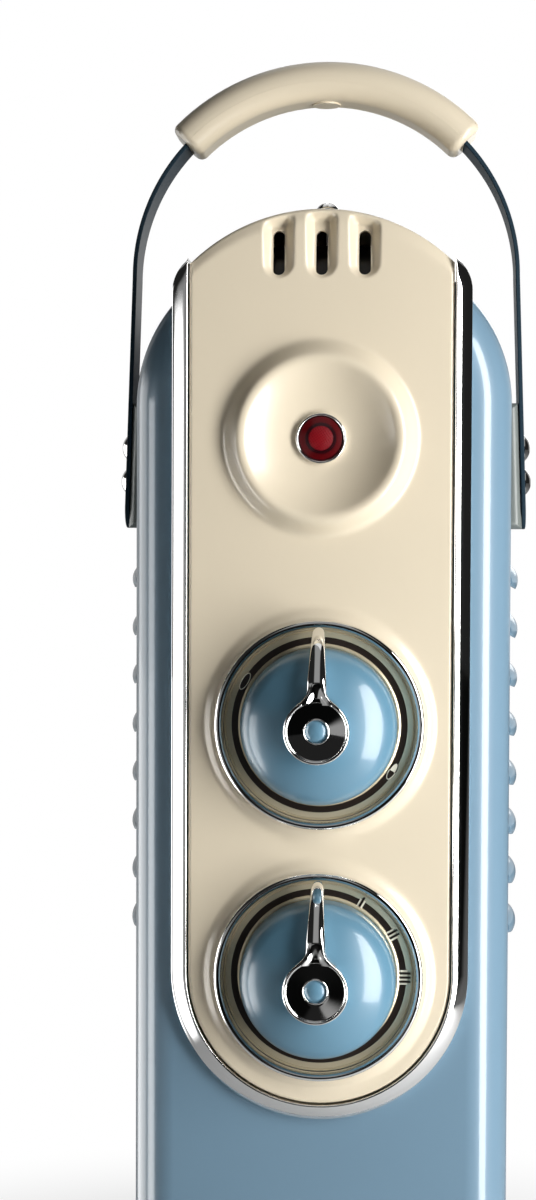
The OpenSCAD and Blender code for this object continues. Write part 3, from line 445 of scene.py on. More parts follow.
def paint_shade_under_panel(material):
    """Painted shade: the part of the housing that the panel covers is painted near black without a coat,
    standing in for the shade seen through the vent slots.
    """
    tree = material.node_tree
    shader = tree.nodes["Principled BSDF"]
    part = add(tree, "ShaderNodeSeparateXYZ", {0: object_place(tree)}).outputs
    half = sizes().panel_width / 2
    across = ramp(tree, maths(tree, "ABSOLUTE", part["X"]), half - 1 * MM, half - 4 * MM)
    upper = ramp(tree, part["Z"], PANEL_FOOT_Z, PANEL_FOOT_Z + 4 * MM)
    fore = ramp(tree, part["Y"], SEAT + (PANEL_DEPTH - 3) * MM, SEAT + (PANEL_DEPTH - 7) * MM)
    # Painted shade: the enamel is darkened and loses its coat where the panel covers it
    shade_share = product(tree, across, upper, fore)
    enamel = shader.inputs["Base Color"].links[0].from_socket
    wire(tree, blend(tree, shade_share, enamel, PAINTED_SHADE), shader.inputs["Base Color"])
    wire(tree, ramp(tree, shade_share, 1.0, 0.0, 0.0, ENAMEL_COAT), shader.inputs["Coat Weight"])


FINISHES = {}


def finishes():
    """Every material by its short name, made on first use."""
    if FINISHES:
        return FINISHES
    tint = colours()
    FINISHES.update(
        enamel=finish("Blue Enamel", tint.enamel, 0.32, coat=ENAMEL_COAT, coat_roughness=0.05,
                      grain=(700.0, 55.0, 0.55), relief=0.00001, patch=(9.0, 0.05), dust=0.05),
        fin_enamel=finish("Fin Enamel", tint.enamel, 0.36, coat=0.7, coat_roughness=0.09,
                          grain=(600.0, 60.0, 0.5), relief=0.000016, patch=(11.0, 0.06), dust=0.10),
        cream=finish("Cream Moulding", tint.moulding, 0.34, coat=0.35, coat_roughness=0.16,
                     grain=(1500.0, 80.0, 0.35), relief=0.000012, patch=(10.0, 0.035), dust=0.03),
        knob=finish("Knob Plastic", tint.knob, 0.36, coat=0.55, coat_roughness=0.10,
                    grain=(1200.0, 70.0, 0.4), relief=0.000006, patch=(25.0, 0.04), dust=0.02),
        chrome=finish("Polished Chrome", (0.82, 0.82, 0.81), 0.045, metallic=1.0,
                      grain=(900.0, 45.0, 0.25), relief=0.0000012, patch=(30.0, 0.02), dust=0.0),
        strap=finish("Strap Paint", tint.strap, 0.38, specular=0.02,
                     grain=(900.0, 60.0, 0.5), relief=0.000015, patch=(25.0, 0.12), dust=0.04),
        black=finish("Black Plastic", (0.018, 0.018, 0.020), 0.46,
                     grain=(1900.0, 200.0, 0.2), relief=0.00006, patch=(40.0, 0.2), dust=0.06),
        spacer=finish("Spacer Plastic", (0.15, 0.165, 0.155), 0.42, coat=0.3, coat_roughness=0.2,
                      grain=(1500.0, 160.0, 0.25), relief=0.00004, patch=(40.0, 0.15), dust=0.04),
        foot_paint=finish("Foot Paint", (0.016, 0.017, 0.019), 0.34, coat=0.4, coat_roughness=0.15,
                          grain=(1100.0, 120.0, 0.4), relief=0.00003, patch=(20.0, 0.15), dust=0.12),
        castor=finish("Castor Wheel", (0.030, 0.030, 0.032), 0.52,
                      grain=(1600.0, 150.0, 0.3), relief=0.00006, patch=(60.0, 0.3), dust=0.12),
        zinc=finish("Zinc Plate", (0.62, 0.62, 0.60), 0.30, metallic=1.0,
                    grain=(1500.0, 260.0, 0.5), relief=0.00003, patch=(120.0, 0.18), dust=0.05),
        steel=finish("Element Steel", (0.40, 0.37, 0.33), 0.38, metallic=1.0,
                     grain=(2200.0, 90.0, 0.3), relief=0.00003, patch=(30.0, 0.25), dust=0.05),
        brass=finish("Turned Brass", (0.66, 0.46, 0.17), 0.30, metallic=1.0,
                     grain=(2400.0, 150.0, 0.2), relief=0.00003, patch=(60.0, 0.12), dust=0.03),
        white=finish("White Plastic", (0.66, 0.65, 0.60), 0.42,
                     grain=(1700.0, 130.0, 0.3), relief=0.00003, patch=(40.0, 0.05), dust=0.04),
        champagne=finish("Champagne Paint", tint.champagne, 0.25, metallic=0.6, coat=0.4, coat_roughness=0.08,
                         grain=(3000.0, 200.0, 0.2), relief=0.000008, patch=(50.0, 0.06), dust=0.0),
        band=finish("Dial Band", (0.018, 0.012, 0.009), 0.30, coat=0.4, coat_roughness=0.10,
                    grain=(1500.0, 120.0, 0.3), relief=0.000006, patch=(60.0, 0.2), dust=0.0),
        mark=finish("Dial Mark", (0.80, 0.76, 0.62), 0.35,
                    grain=(2500.0, 200.0, 0.2), relief=0.000006, patch=(80.0, 0.04), dust=0.0),
        lens=lens_finish())
    # Painted shade on the enamel behind the panel
    paint_shade_under_panel(FINISHES["enamel"])
    return FINISHES


LENS_R, RIBS_R = 9.2, 5.0


def lens_finish():
    """Red lens: a clear dark rim round a bright disc with a fine crossed relief."""
    material, tree, shader = fresh("Red Lens")
    centred = add(tree, "ShaderNodeMapping", {
        "Vector": object_place(tree), "Location": (0, 0, -LAMP_Z)}).outputs["Vector"]
    part = add(tree, "ShaderNodeSeparateXYZ", {0: centred}).outputs
    flat = add(tree, "ShaderNodeCombineXYZ", {"X": part["X"], "Z": part["Z"]}).outputs[0]
    radius = add(tree, "ShaderNodeVectorMath", {0: flat}, operation="LENGTH").outputs["Value"]
    # Rings: bright disc, dark seam, deep red rim
    rings = add(tree, "ShaderNodeValToRGB", {"Fac": ramp(tree, radius, 0.0, LENS_R * MM, shape="LINEAR")})
    red = colours().lamp
    stops = rings.color_ramp.elements
    stops[0].position, stops[0].color = 0.0, (red[0], red[1], red[2], 1)
    stops[1].position, stops[1].color = 0.50, (red[0] * 0.85, red[1], red[2], 1)
    for position, shade in ((0.56, 0.06), (0.66, 0.10), (0.74, 0.30), (0.90, 0.34), (0.97, 0.10)):
        stops.new(position).color = (red[0] * shade, red[1] * 0.3, red[2] * 0.3, 1)
    # Fine crossed ribs in the middle
    ribs = ramp(tree, radius, RIBS_R * MM, (RIBS_R - 0.4) * MM, shape="LINEAR")
    for turn in (0.6, 0.6 + math.pi / 2):
        spin = add(tree, "ShaderNodeMapping", {"Vector": centred, "Rotation": (0, turn, 0)})
        wave = add(tree, "ShaderNodeTexWave", {"Vector": spin.outputs["Vector"], "Scale": 340.0},
                   bands_direction="X")
        ribs = product(tree, ribs, wave.outputs["Fac"])
    bump = add(tree, "ShaderNodeBump", {"Distance": 0.00012, "Height": ribs})
    feed(tree, shader, {
        "Base Color": blend(tree, ribs, rings.outputs["Color"], (0.45, 0.3, 0.3, 1), "MULTIPLY"),
        "Roughness": 0.25, "Specular IOR Level": 0.3, "Coat Weight": 0.35, "Coat Roughness": 0.03,
        "Normal": bump.outputs["Normal"]})
    return material


# Housing, with its sizes in millimetres

HOUSING_WALL = 1.2
LOUVRE_DROP, SLOT_HALF, SLOT_FOOT, SLOT_HEAD, SLOT_REACH = 138.6, 15.0, 6.0, 1.0, 5.0
HOOD_R, HOOD_BEND_R, HOOD_PROUD, HOOD_HALF, HOOD_WALL = 7.5, 60.0, 4.2, 20.6, 1.0
HOOD_LIP, HOOD_SWEEP = math.radians(31), math.radians(93)


def housing_form(grow=0.0, rear=0.0):
    """The housing's closed form, grown on every side and lengthened towards the back."""
    size = sizes()
    bm = bmesh.new()
    half = size.housing_width / 2 + grow
    front, back = FACE - grow, REAR + rear
    block(bm, (-half, front, SHELL_LOW.z - grow), (half, back, SHELL_HIGH.z + grow))
    long_edges = [e for e in bm.edges if abs(e.verts[0].co.y - e.verts[1].co.y) > 1e-6]
    bevel(bm, long_edges, size.housing_corner + grow, 32)
    rim = [e for e in bm.edges if all(abs(v.co.y - front) < 1e-7 for v in e.verts)]
    bevel(bm, rim, size.housing_edge + grow, 14)
    return bm


def louvre_heights():
    """Heights of the louvres' lower edges, from the top one down."""
    size = sizes()
    first = SHELL_HIGH.z - LOUVRE_DROP * MM
    return [first - size.louvre_pitch * k for k in range(size.louvre_count)]


def louvre_slots():
    """Cutter for the slots behind the louvres."""
    bm = bmesh.new()
    half = sizes().housing_width / 2
    for side in (-1, 1):
        for z in louvre_heights():
            inner, outer = sorted((side * (half - SLOT_REACH * MM), side * (half + SLOT_REACH * MM)))
            block(bm, (inner, STRAP_Y - SLOT_HALF * MM, z - SLOT_FOOT * MM),
                  (outer, STRAP_Y + SLOT_HALF * MM, z - SLOT_HEAD * MM))
    return loose("louvre_slots", bm)


def build_housing():
    """Pan of sheet steel, open at the back, and the louvres in its sides."""
    bm = housing_form()
    back = [f for f in bm.faces if all(abs(v.co.y - REAR) < 1e-7 for v in f.verts)]
    bmesh.ops.delete(bm, geom=back, context="FACES_ONLY")
    obj = loose("housing", bm)
    wall = obj.modifiers.new("Wall", "SOLIDIFY")
    wall.thickness = HOUSING_WALL * MM
    wall.offset = -1.0
    wall.use_even_offset = True
    settle(obj)
    cut(obj, louvre_slots())
    smooth(obj, 30)
    place(obj, [finishes()["enamel"]], BODY, "housing_enamel", "front_housing")
    build_louvres()


def build_louvres():
    """Pressed hoods over the slots in the housing's sides."""
    axis_x = sizes().housing_width / 2 + (HOOD_PROUD - HOOD_R) * MM
    steps = 24
    bm = bmesh.new()
    for side in (1, -1):
        for z in louvre_heights():
            lip = []
            for k in range(steps + 1):
                y = -HOOD_HALF + 2 * HOOD_HALF * k / steps
                r = HOOD_R - (HOOD_BEND_R - math.sqrt(HOOD_BEND_R ** 2 - y * y))
                lip.append((side * (axis_x + r * MM), STRAP_Y + y * MM, z))
            verts, edges = chain(bm, lip)
            # From the lower lip the hood sweeps up to where it meets the wall
            centre = (side * axis_x, STRAP_Y, z)
            bmesh.ops.rotate(bm, cent=centre, matrix=Matrix.Rotation(side * HOOD_LIP, 3, "Y"), verts=verts)
            bmesh.ops.spin(bm, geom=verts + edges, cent=centre, axis=(0, -side, 0), dvec=(0, 0, 0),
                           angle=HOOD_SWEEP, steps=16)
    bmesh.ops.remove_doubles(bm, verts=bm.verts[:], dist=1e-7)
    for face in bm.faces:
        outward = Vector((1 if face.calc_center_median().x > 0 else -1, 0, 0))
        if face.normal.dot(outward) < 0:
            face.normal_flip()
    obj = loose("louvre_hoods", bm)
    wall = obj.modifiers.new("Wall", "SOLIDIFY")
    wall.thickness = HOOD_WALL * MM
    wall.offset = -1.0
    settle(obj)
    smooth(obj, 40)
    place(obj, [finishes()["enamel"]], BODY, "housing_enamel")


# Control panel, with its sizes in millimetres

ARCH_DROP = ARCH_R / math.cos(ROOF_SLOPE)
# Raised ring round the lamp, and the bowl in it
CREST_R, CREST_W, CREST_FALL, FOOT_R, DISH_PROUD, DISH_DEPTH = 32.5, 2.5, 0.8, 41.0, 6.4, 9.4
# Seats of the bezels
SEAT_HOLE_R, SEAT_CREST_R, SEAT_FOOT_R, SEAT_PROUD = 40.8, 42.85, 48.2, 2.4
# Vent slots and the scoops that lead to them
VENT_PITCH, VENT_W, VENT_H, VENT_DROP = 17.4, 4.8, 18.2, 17.7
SCOOP_R, SCOOP_FOOT = 6.5, 28.4
# Soft bend of the face below the arch, and how far down its rows follow the arch
ARCH_TILT, ARCH_BEND, ARCH_BEND_W, FACE_TOP = 0.985, 1.5, 8.5, 75.0
# Room under the roof
ROOF_WALL, ROOF_START, ROOF_LENGTH = 2.5, 8.2, 68.3


def arch_height(x, inset=0.0):
    """Height of the panel's arch at a distance from the middle, in millimetres: 0 at the apex."""
    r = ARCH_R - inset
    return -ARCH_DROP + r / math.cos(ROOF_SLOPE) * math.sqrt(max(0.0, 1 - (x / r) ** 2))


def dish_relief(r):
    """Height of the lamp's raised ring and bowl at a distance from its middle."""
    lip = CREST_R - CREST_W
    if r > FOOT_R:
        return 0.0
    if r > CREST_R:
        return DISH_PROUD * (1 + math.cos(math.pi * (r - CREST_R) / (FOOT_R - CREST_R))) / 2
    if r > lip:
        return DISH_PROUD - CREST_FALL * ((CREST_R - r) / CREST_W) ** 2
    return DISH_PROUD - DISH_DEPTH + (DISH_DEPTH - CREST_FALL) * (r / lip) ** 2.4


def seat_relief(r):
    """Soft raised ring on which a bezel sits."""
    if r <= SEAT_HOLE_R or r > SEAT_FOOT_R:
        return 0.0
    t = max(0.0, (r - SEAT_CREST_R) / (SEAT_FOOT_R - SEAT_CREST_R))
    return SEAT_PROUD * (1 - ease(t, 0.08, 1.0))


def scoop_relief(x, z_mm):
    """Depth of the three round-ended scoops at a place on the panel, below its face."""
    along = z_mm - (ARCH_Z / MM - SCOOP_FOOT + SCOOP_R)
    below_arch = ARCH_Z / MM + arch_height(x) - z_mm
    floor = 2.6 + 0.14 * max(0.0, along)
    depth = 0.0
    for k in (-1, 0, 1):
        off = math.hypot(x - k * VENT_PITCH, min(0.0, along))
        depth = max(depth, floor * (1 - ease(off, 2.9, SCOOP_R + 0.2)))
    return depth * ease(below_arch, 0.9, 5.2)


def panel_relief(x, z_mm):
    """Height of the panel's face in front of its flat, in millimetres."""
    height = dish_relief(math.hypot(x, z_mm - LAMP_Z / MM))
    for z in (THERMOSTAT_Z, SELECTOR_Z):
        height += seat_relief(math.hypot(x, z_mm - z / MM))
    return height - scoop_relief(x, z_mm)


def edge_drop(distance, radius):
    """How far the face falls back near its outline."""
    if distance >= radius:
        return 0.0
    return radius - math.sqrt(max(0.0, radius ** 2 - (radius - distance) ** 2))


def panel_rows(low, high):
    """Heights of the face's rows, close together where the face has relief."""
    rows, z = [], low
    lamp, thermo, select = LAMP_Z / MM, THERMOSTAT_Z / MM, SELECTOR_Z / MM
    while z < high:
        rows.append(z)
        if min(z - low, high - z) < 2.4:
            step = 0.3
        elif z > high - 40:
            step = 0.5
        elif abs(z - lamp) < 43:
            step = 1.0
        elif abs(z - thermo) < 48.5 or abs(z - select) < 48.5:
            step = 1.5
        else:
            step = 4.0
        z += step
    rows.append(high)
    return rows


def face_height(row, low, bottom, top):
    """Height of a row's point: rows bend towards the face's curved ends and are level in between."""
    foot, shoulder = PANEL_FOOT_Z / MM, ARCH_Z / MM - FACE_TOP
    if row < foot:
        return bottom + (foot - bottom) * (row - low) / (foot - low)
    if row > shoulder:
        return shoulder + (top - shoulder) * ((row - shoulder) / FACE_TOP)
    return row


def panel_shell():
    """The panel's face with all its relief, and the walls and the roof behind it, as one closed form."""
    half, edge = sizes().panel_width / 2 / MM, sizes().panel_edge / MM
    foot, arch = PANEL_FOOT_Z / MM, ARCH_Z / MM
    low = foot - half
    rows = panel_rows(low, arch)
    last = len(rows) - 1
    bm = bmesh.new()
    for vert in bmesh.ops.create_grid(bm, x_segments=220, y_segments=last, size=1.0)["verts"]:
        x = half * math.sin(math.pi / 2 * vert.co.x)
        row = rows[min(last, int(round((vert.co.y + 1) / 2 * last)))]
        top = arch + arch_height(x)
        z = face_height(row, low, foot - math.sqrt(max(0.0, half ** 2 - x ** 2)), top)
        gap = min(half - abs(x), (top - z) * ARCH_TILT)
        if z < foot:
            gap = min(gap, half - math.hypot(x, foot - z))
        back = edge_drop(max(0.0, gap), edge) + ARCH_BEND * (1 - ease(top - z, 0.0, ARCH_BEND_W)) ** 2
        vert.co = Vector((x, SEAT / MM - panel_relief(x, z) + back, z)) * MM
    bmesh.ops.remove_doubles(bm, verts=bm.verts[:], dist=2e-6)
    # The outline is drawn back, and rises with the roof at the top
    rim = [e for e in bm.edges if e.is_boundary]
    for vert in new_points(bmesh.ops.extrude_edge_only(bm, edges=rim)["geom"]):
        on_arch = vert.co.z / MM > arch + arch_height(half) - 0.05
        vert.co.y = SEAT + PANEL_DEPTH * MM
        if on_arch:
            vert.co.z += (vert.co.y - SEAT) * math.tan(ROOF_SLOPE)
    back = [e for e in bm.edges if e.is_boundary]
    bmesh.ops.triangle_fill(bm, use_beauty=True, use_dissolve=True, edges=back)
    bmesh.ops.recalc_face_normals(bm, faces=bm.faces[:])
    return bm


def roof_hollow():
    """Cutter for the room under the panel's roof."""
    bm = bmesh.new()
    half, arch = sizes().panel_width / 2 / MM - ROOF_WALL, ARCH_Z / MM
    outline = [(x, arch + arch_height(x, ROOF_WALL)) for x in (half * (1 - 2 * k / 40) for k in range(41))]
    ring = [(-half, arch - 60), (half, arch - 60)] + outline
    rise = math.tan(ROOF_SLOPE)
    verts = [bm.verts.new((x * MM, SEAT + ROOF_START * MM, (z + ROOF_START * rise) * MM)) for x, z in ring]
    made = bmesh.ops.extrude_face_region(bm, geom=[bm.faces.new(verts)])["geom"]
    for vert in new_points(made):
        vert.co.y += ROOF_LENGTH * MM
        vert.co.z += ROOF_LENGTH * MM * rise
    bmesh.ops.recalc_face_normals(bm, faces=bm.faces[:])
    return loose("roof_hollow", bm)


def vent_slots():
    """Cutter for the three slots with round ends."""
    bm = bmesh.new()
    middle = ARCH_Z / MM - VENT_DROP
    for k in (-1, 0, 1):
        verts = block(bm, ((k * VENT_PITCH - VENT_W / 2) * MM, SEAT - 3 * MM, (middle - VENT_H / 2) * MM),
                      ((k * VENT_PITCH + VENT_W / 2) * MM, SEAT + 12 * MM, (middle + VENT_H / 2) * MM))
        corners = [e for e in bm.edges if set(e.verts) <= set(verts)
                   and abs(e.verts[0].co.y - e.verts[1].co.y) > 1e-6]
        bevel(bm, corners, VENT_W / 2 * 0.98 * MM, 8)
    return loose("vent_slots", bm)


def build_panel():
    obj = loose("control_panel_moulding", panel_shell())
    cut(obj, loose("housing_cutter", housing_form(0.3 * MM, 40 * MM)), roof_hollow(), vent_slots())
    smooth(obj, 38)
    place(obj, [finishes()["cream"]], BODY, "cream_plastic", "control_panel")


# Trim, with its sizes in millimetres

TRIM_H, TRIM_LIP, TRIM_RISE, TRIM_FALL = 8.0, 0.6, 26, 42
TRIM_GAP, TIP_DROP, TIP_R, WRAP_DEPTH = 0.5, 21.0, 16.0, 15.0


def trim_section(inner, width):
    """Outline of the trim as (x, depth) pairs: its face falls away outwards from a crest beside the panel."""
    rise, fall = math.radians(TRIM_RISE), math.radians(TRIM_FALL)
    crest_x, crest_h = inner + TRIM_LIP * (1 + math.sin(rise)), TRIM_H - TRIM_LIP * (1 - math.cos(rise))
    outer_x = inner + width - TRIM_LIP * (1 - math.sin(fall))
    r = (outer_x - crest_x) / (math.sin(fall) - math.sin(rise))
    mid_x, mid_h = crest_x - r * math.sin(rise), crest_h - r * math.cos(rise)
    outer_h = mid_h + r * math.cos(fall)
    crown = arc(outer_x - TRIM_LIP * math.sin(fall), outer_h - TRIM_LIP * math.cos(fall), TRIM_LIP,
                0, 90 - TRIM_FALL, 6)
    crown += arc(mid_x, mid_h, r, 90 - TRIM_FALL, 90 - TRIM_RISE, 16)[1:]
    crown += arc(inner + TRIM_LIP, TRIM_H - TRIM_LIP, TRIM_LIP, 90 - TRIM_RISE, 180, 8)[1:]
    face = FACE / MM
    return [(inner, face), (inner + width, face)] + [(x, face - h) for x, h in crown]


def build_trim():
    size = sizes()
    width = size.trim_width / MM
    inner = size.panel_width / 2 / MM + TRIM_GAP
    foot, face = PANEL_FOOT_Z / MM, FACE / MM
    wrap_z = (SHELL_HIGH.z - size.housing_corner) / MM
    tip_z = SHELL_HIGH.z / MM - TIP_DROP
    bm = bmesh.new()
    section = [(x * MM, y * MM, foot * MM) for x, y in trim_section(inner, width)]
    verts, edges = chain(bm, section, closed=True)
    # Quarter of the round foot, from the side down to the middle
    bmesh.ops.spin(bm, geom=verts + edges, cent=(0, 0, foot * MM), axis=(0, 1, 0), dvec=(0, 0, 0),
                   angle=math.pi / 2, steps=40)
    # The leg: straight, then deeper where it wraps the shoulder, then narrower to its tip
    tip_reach = math.sqrt(TIP_R ** 2 - (TIP_R - width) ** 2)
    heights = [foot + (wrap_z - foot) * k / 6 for k in range(1, 7)]
    heights += [wrap_z + (tip_z - wrap_z) * k / 8 for k in range(1, 9)]
    heights += [tip_z + tip_reach * math.sin(math.pi / 2 * k / 12) for k in range(1, 13)]
    loop, before = edges, width
    for z in heights:
        up = min(max(0.0, z - tip_z), tip_reach)
        now = max(0.04, width - TIP_R + math.sqrt(TIP_R ** 2 - up ** 2))
        geom = bmesh.ops.extrude_edge_only(bm, edges=loop)["geom"]
        points = new_points(geom)
        loop = [g for g in geom if isinstance(g, bmesh.types.BMEdge) and all(v in points for v in g.verts)]
        for vert in points:
            vert.co.z = z * MM
            vert.co.x = (inner + (vert.co.x / MM - inner) * now / before) * MM
            if z > wrap_z + 0.5 and vert.co.y > (face - 0.01) * MM:
                vert.co.y = (face + WRAP_DEPTH) * MM
        before = now
    bmesh.ops.contextual_create(bm, geom=loop)
    bmesh.ops.remove_doubles(bm, verts=bm.verts[:], dist=1e-7)
    mirror_across(bm, 2e-6)
    obj = loose("panel_trim", bm)
    cut(obj, loose("housing_cutter", housing_form(0.1 * MM, 5 * MM)))
    smooth(obj, 50)
    place(obj, [finishes()["chrome"]], BODY, "polished_chrome", "chrome_trim")


# Dials, with their sizes in millimetres

BEZEL_R, BEZEL_TUBE_R, BEZEL_WALL, BEZEL_H = 42.55, 1.5, 3.0, 4.5
BAND_IN, BAND_OUT, BAND_MID, BAND_H = 33.1, 35.7, 34.9, 1.5
GROOVE_IN, GROOVE_OUT = 38.6, 38.9
DARK, LIGHT = 1, 2


def build_bezel(name, centre):
    """Bright ring with a round crest."""
    bm = bmesh.new()
    crest = arc(BEZEL_R - BEZEL_TUBE_R, BEZEL_H, BEZEL_TUBE_R, 0, 180, 20)
    turned(bm, [(BEZEL_R - BEZEL_WALL, 0), (BEZEL_R, 0)] + crest, centre, 160, closed=True)
    ring = loose(name + "_ring", bm)
    smooth(ring, 40)
    place(ring, [finishes()["chrome"]], BODY, "polished_chrome", name + "_bezel")


def build_dial(z, name):
    """Bezel, stepped dial with its dark band and its groove painted dark as painted shade, and the marks on
    the band.
    """
    centre = (0, SEAT, z)
    build_bezel(name, centre)
    bm = bmesh.new()
    steps = [(6, 0), (39.5, 0), (39.5, 3.6), (39.25, 3.8), (GROOVE_OUT, 3.7), (38.7, 2.7), (38.4, 2.35),
             (38.2, 2.5), (37.95, 2.45), (37.8, 2.1), (35.9, 1.6), (BAND_OUT, BAND_H), (BAND_IN, BAND_H),
             (32.9, 1.75), (32.3, 2.0), (31.7, 1.9), (31.6, BAND_H), (6, BAND_H)]
    turned(bm, steps, centre, 160, closed=True)
    for face in bm.faces:
        spot = face.calc_center_median() - Vector(centre)
        r = math.hypot(spot.x, spot.z) / MM
        on_band = BAND_IN < r < BAND_OUT and -spot.y / MM > BAND_H - 0.1
        # The band is the dial's own dark print; the faces in the narrow groove get the same dark finish as
        # painted shade
        if on_band or GROOVE_IN < r < GROOVE_OUT:
            face.material_index = DARK
    dial_marks(bm, z, name)
    dial = loose(name + "_dial", bm)
    smooth(dial, 25)
    place(dial, [finishes()["champagne"], finishes()["band"], finishes()["mark"]], BODY, "champagne_dial",
          name + "_dial")


def raised_mark(bm, outline, z, angle, lift, index):
    """Adds a thin raised mark on the dial's band, drawn at the top and turned clockwise."""
    verts = [bm.verts.new((x * MM, SEAT - BAND_H * MM, z + h * MM)) for x, h in outline]
    face = bm.faces.new(verts)
    raised = new_points(bmesh.ops.extrude_face_region(bm, geom=[face])["geom"])
    bmesh.ops.translate(bm, vec=(0, -lift * MM, 0), verts=raised)
    every = verts + raised
    turn = Matrix.Rotation(math.radians(angle), 3, "Y")
    bmesh.ops.rotate(bm, cent=(0, SEAT, z), matrix=turn, verts=every)
    faces = {f for v in every for f in v.link_faces}
    for f in faces:
        f.material_index = index
    bmesh.ops.recalc_face_normals(bm, faces=list(faces))


def stroke(x, width, low, high):
    """Outline of a radial stroke on a dial."""
    half = width / 2
    return [(x - half, low), (x + half, low), (x + half, high), (x - half, high)]


def oval(a, b, start=0, end=360):
    """Outline of an oval, or a part of one, in the middle of the dial's band."""
    points = arc(0, 0, 1, start, end, 24)
    if end - start == 360:
        points.pop()
    return [(a * x, BAND_MID + b * h) for x, h in points]


def dial_marks(bm, z, name):
    if name == "thermostat":
        # Ovals lying along the band: a dark one, and one that is half light and half dark
        for angle in (-60, 122):
            near, far = (DARK, LIGHT) if angle > 0 else (LIGHT, DARK)
            raised_mark(bm, oval(3.9, 1.5), z, angle, 0.30, LIGHT)
            raised_mark(bm, oval(3.5, 1.15, -90, 90), z, angle, 0.42, DARK)
            raised_mark(bm, oval(3.9, 1.5, 90, 270), z, angle, 0.36, near)
            raised_mark(bm, oval(3.5, 1.15, 90, 270), z, angle, 0.42, far)
        return
    # One, two and three dark strokes that reach out of the band, with light gaps beside them
    pitch = 1.7
    for k in (1, 2, 3):
        for n in range(k):
            raised_mark(bm, stroke((n - (k - 1) / 2) * pitch, 0.8, 33.2, 37.4), z, 30 * k, 0.75, DARK)
        for n in range(k + 1):
            raised_mark(bm, stroke((n - k / 2) * pitch, 0.75, 32.9, 36.2), z, 30 * k, 0.4, LIGHT)


# Knobs, with their sizes in millimetres: heights are above the dial's seat

KNOB_H, KNOB_FOOT, CROWN_R, SHOULDER_R = 28.0, 2.0, 48.0, 12.0
HUB_R, HUB_H, HUB_RIM, HUB_SINK, HUB_SUNK = 13.0, 31.95, 0.75, 30.75, 30.5
CAP_R, CAP_DOME_R = 4.3, 6.6
ARM_START, ARM_END, ARM_TIP, ARM_ROOT, FLARE_R, FLARE_W = 10.4, 40.0, 2.5, 4.1, 16.5, 4.3


def knob_shoulder(r):
    """Middle of the shoulder's arc, the height of the crown's middle and the angle at which they meet."""
    crown_h = KNOB_H - CROWN_R
    x = r - SHOULDER_R
    h = crown_h + math.sqrt((CROWN_R - SHOULDER_R) ** 2 - x ** 2)
    return x, h, crown_h, math.degrees(math.atan2(h - crown_h, x))


def build_knob(z, name):
    """Domed knob with its pointer and its cap, on the control's shaft."""
    centre = (0, SEAT, z)
    body = name + "_control"
    r = sizes().knob_radius / MM
    x, h, crown_h, angle = knob_shoulder(r)
    dome = arc(x, h, SHOULDER_R, 0, angle, 20) + arc(0, crown_h, CROWN_R, angle, 90, 20)[1:]
    bm = bmesh.new()
    turned(bm, [(0, KNOB_FOOT), (r - 0.5, KNOB_FOOT), (r, KNOB_FOOT + 0.5)] + dome, centre, 160)
    knob = loose(name + "_knob_dome", bm)
    smooth(knob, 40)
    place(knob, [finishes()["knob"]], body, "knob_plastic", name + "_knob")
    build_pointer(z, name, body)
    bm = bmesh.new()
    cap_dome = arc(0, HUB_H - 1.4 - CAP_DOME_R, CAP_DOME_R, 49, 90, 10)
    turned(bm, [(0, 27.4), (CAP_R, 27.4), (CAP_R, 28.6)] + cap_dome, centre, 64)
    cap = loose(name + "_knob_cap", bm)
    smooth(cap, 40)
    place(cap, [finishes()["knob"]], body, "knob_plastic", name + "_cap")


def add_hub(bm, z):
    """Round hub with a rim, a shallow funnel and a small ring; the rim sinks where the arm leaves it."""
    hub = [(0, 26.9), (10.4, 26.9), (12.5, 26.7), (HUB_R - 0.2, 27.6), (HUB_R, 29.0)]
    hub += arc(HUB_R - HUB_RIM, HUB_H - HUB_RIM, HUB_RIM, 0, 165, 14)
    hub += [(HUB_R - 1.55, HUB_H - 1.3), (HUB_R - 1.7, HUB_H - 1.35), (6.0, HUB_H - 1.85), (5.5, HUB_H - 1.9)]
    hub += arc(4.8, HUB_H - 1.95, 0.34, 0, 180, 8)
    hub += [(CAP_R + 0.1, HUB_H - 3.8), (0, HUB_H - 3.8)]
    turned(bm, hub, (0, SEAT, z), 128)
    for vert in bm.verts:
        across, up = vert.co.x / MM, (vert.co.z - z) / MM
        height = (SEAT - vert.co.y) / MM
        if up > 9 and height > HUB_SINK:
            vert.co.y = SEAT - (height + (HUB_SUNK - height) * ease(-abs(across), -6.2, -3.6)) * MM


def arm_width(r):
    """Half width of the arm: flared at the hub, tapered, and round at its tip."""
    width = ARM_ROOT + (ARM_TIP - ARM_ROOT) * (r - 14) / (ARM_END - ARM_TIP - 14)
    if r < FLARE_R:
        width += FLARE_W * ((FLARE_R - r) / 6.1) ** 2.2
    if r > ARM_END - ARM_TIP:
        width = math.sqrt(max(1e-6, ARM_TIP ** 2 - (r - (ARM_END - ARM_TIP)) ** 2))
    return width


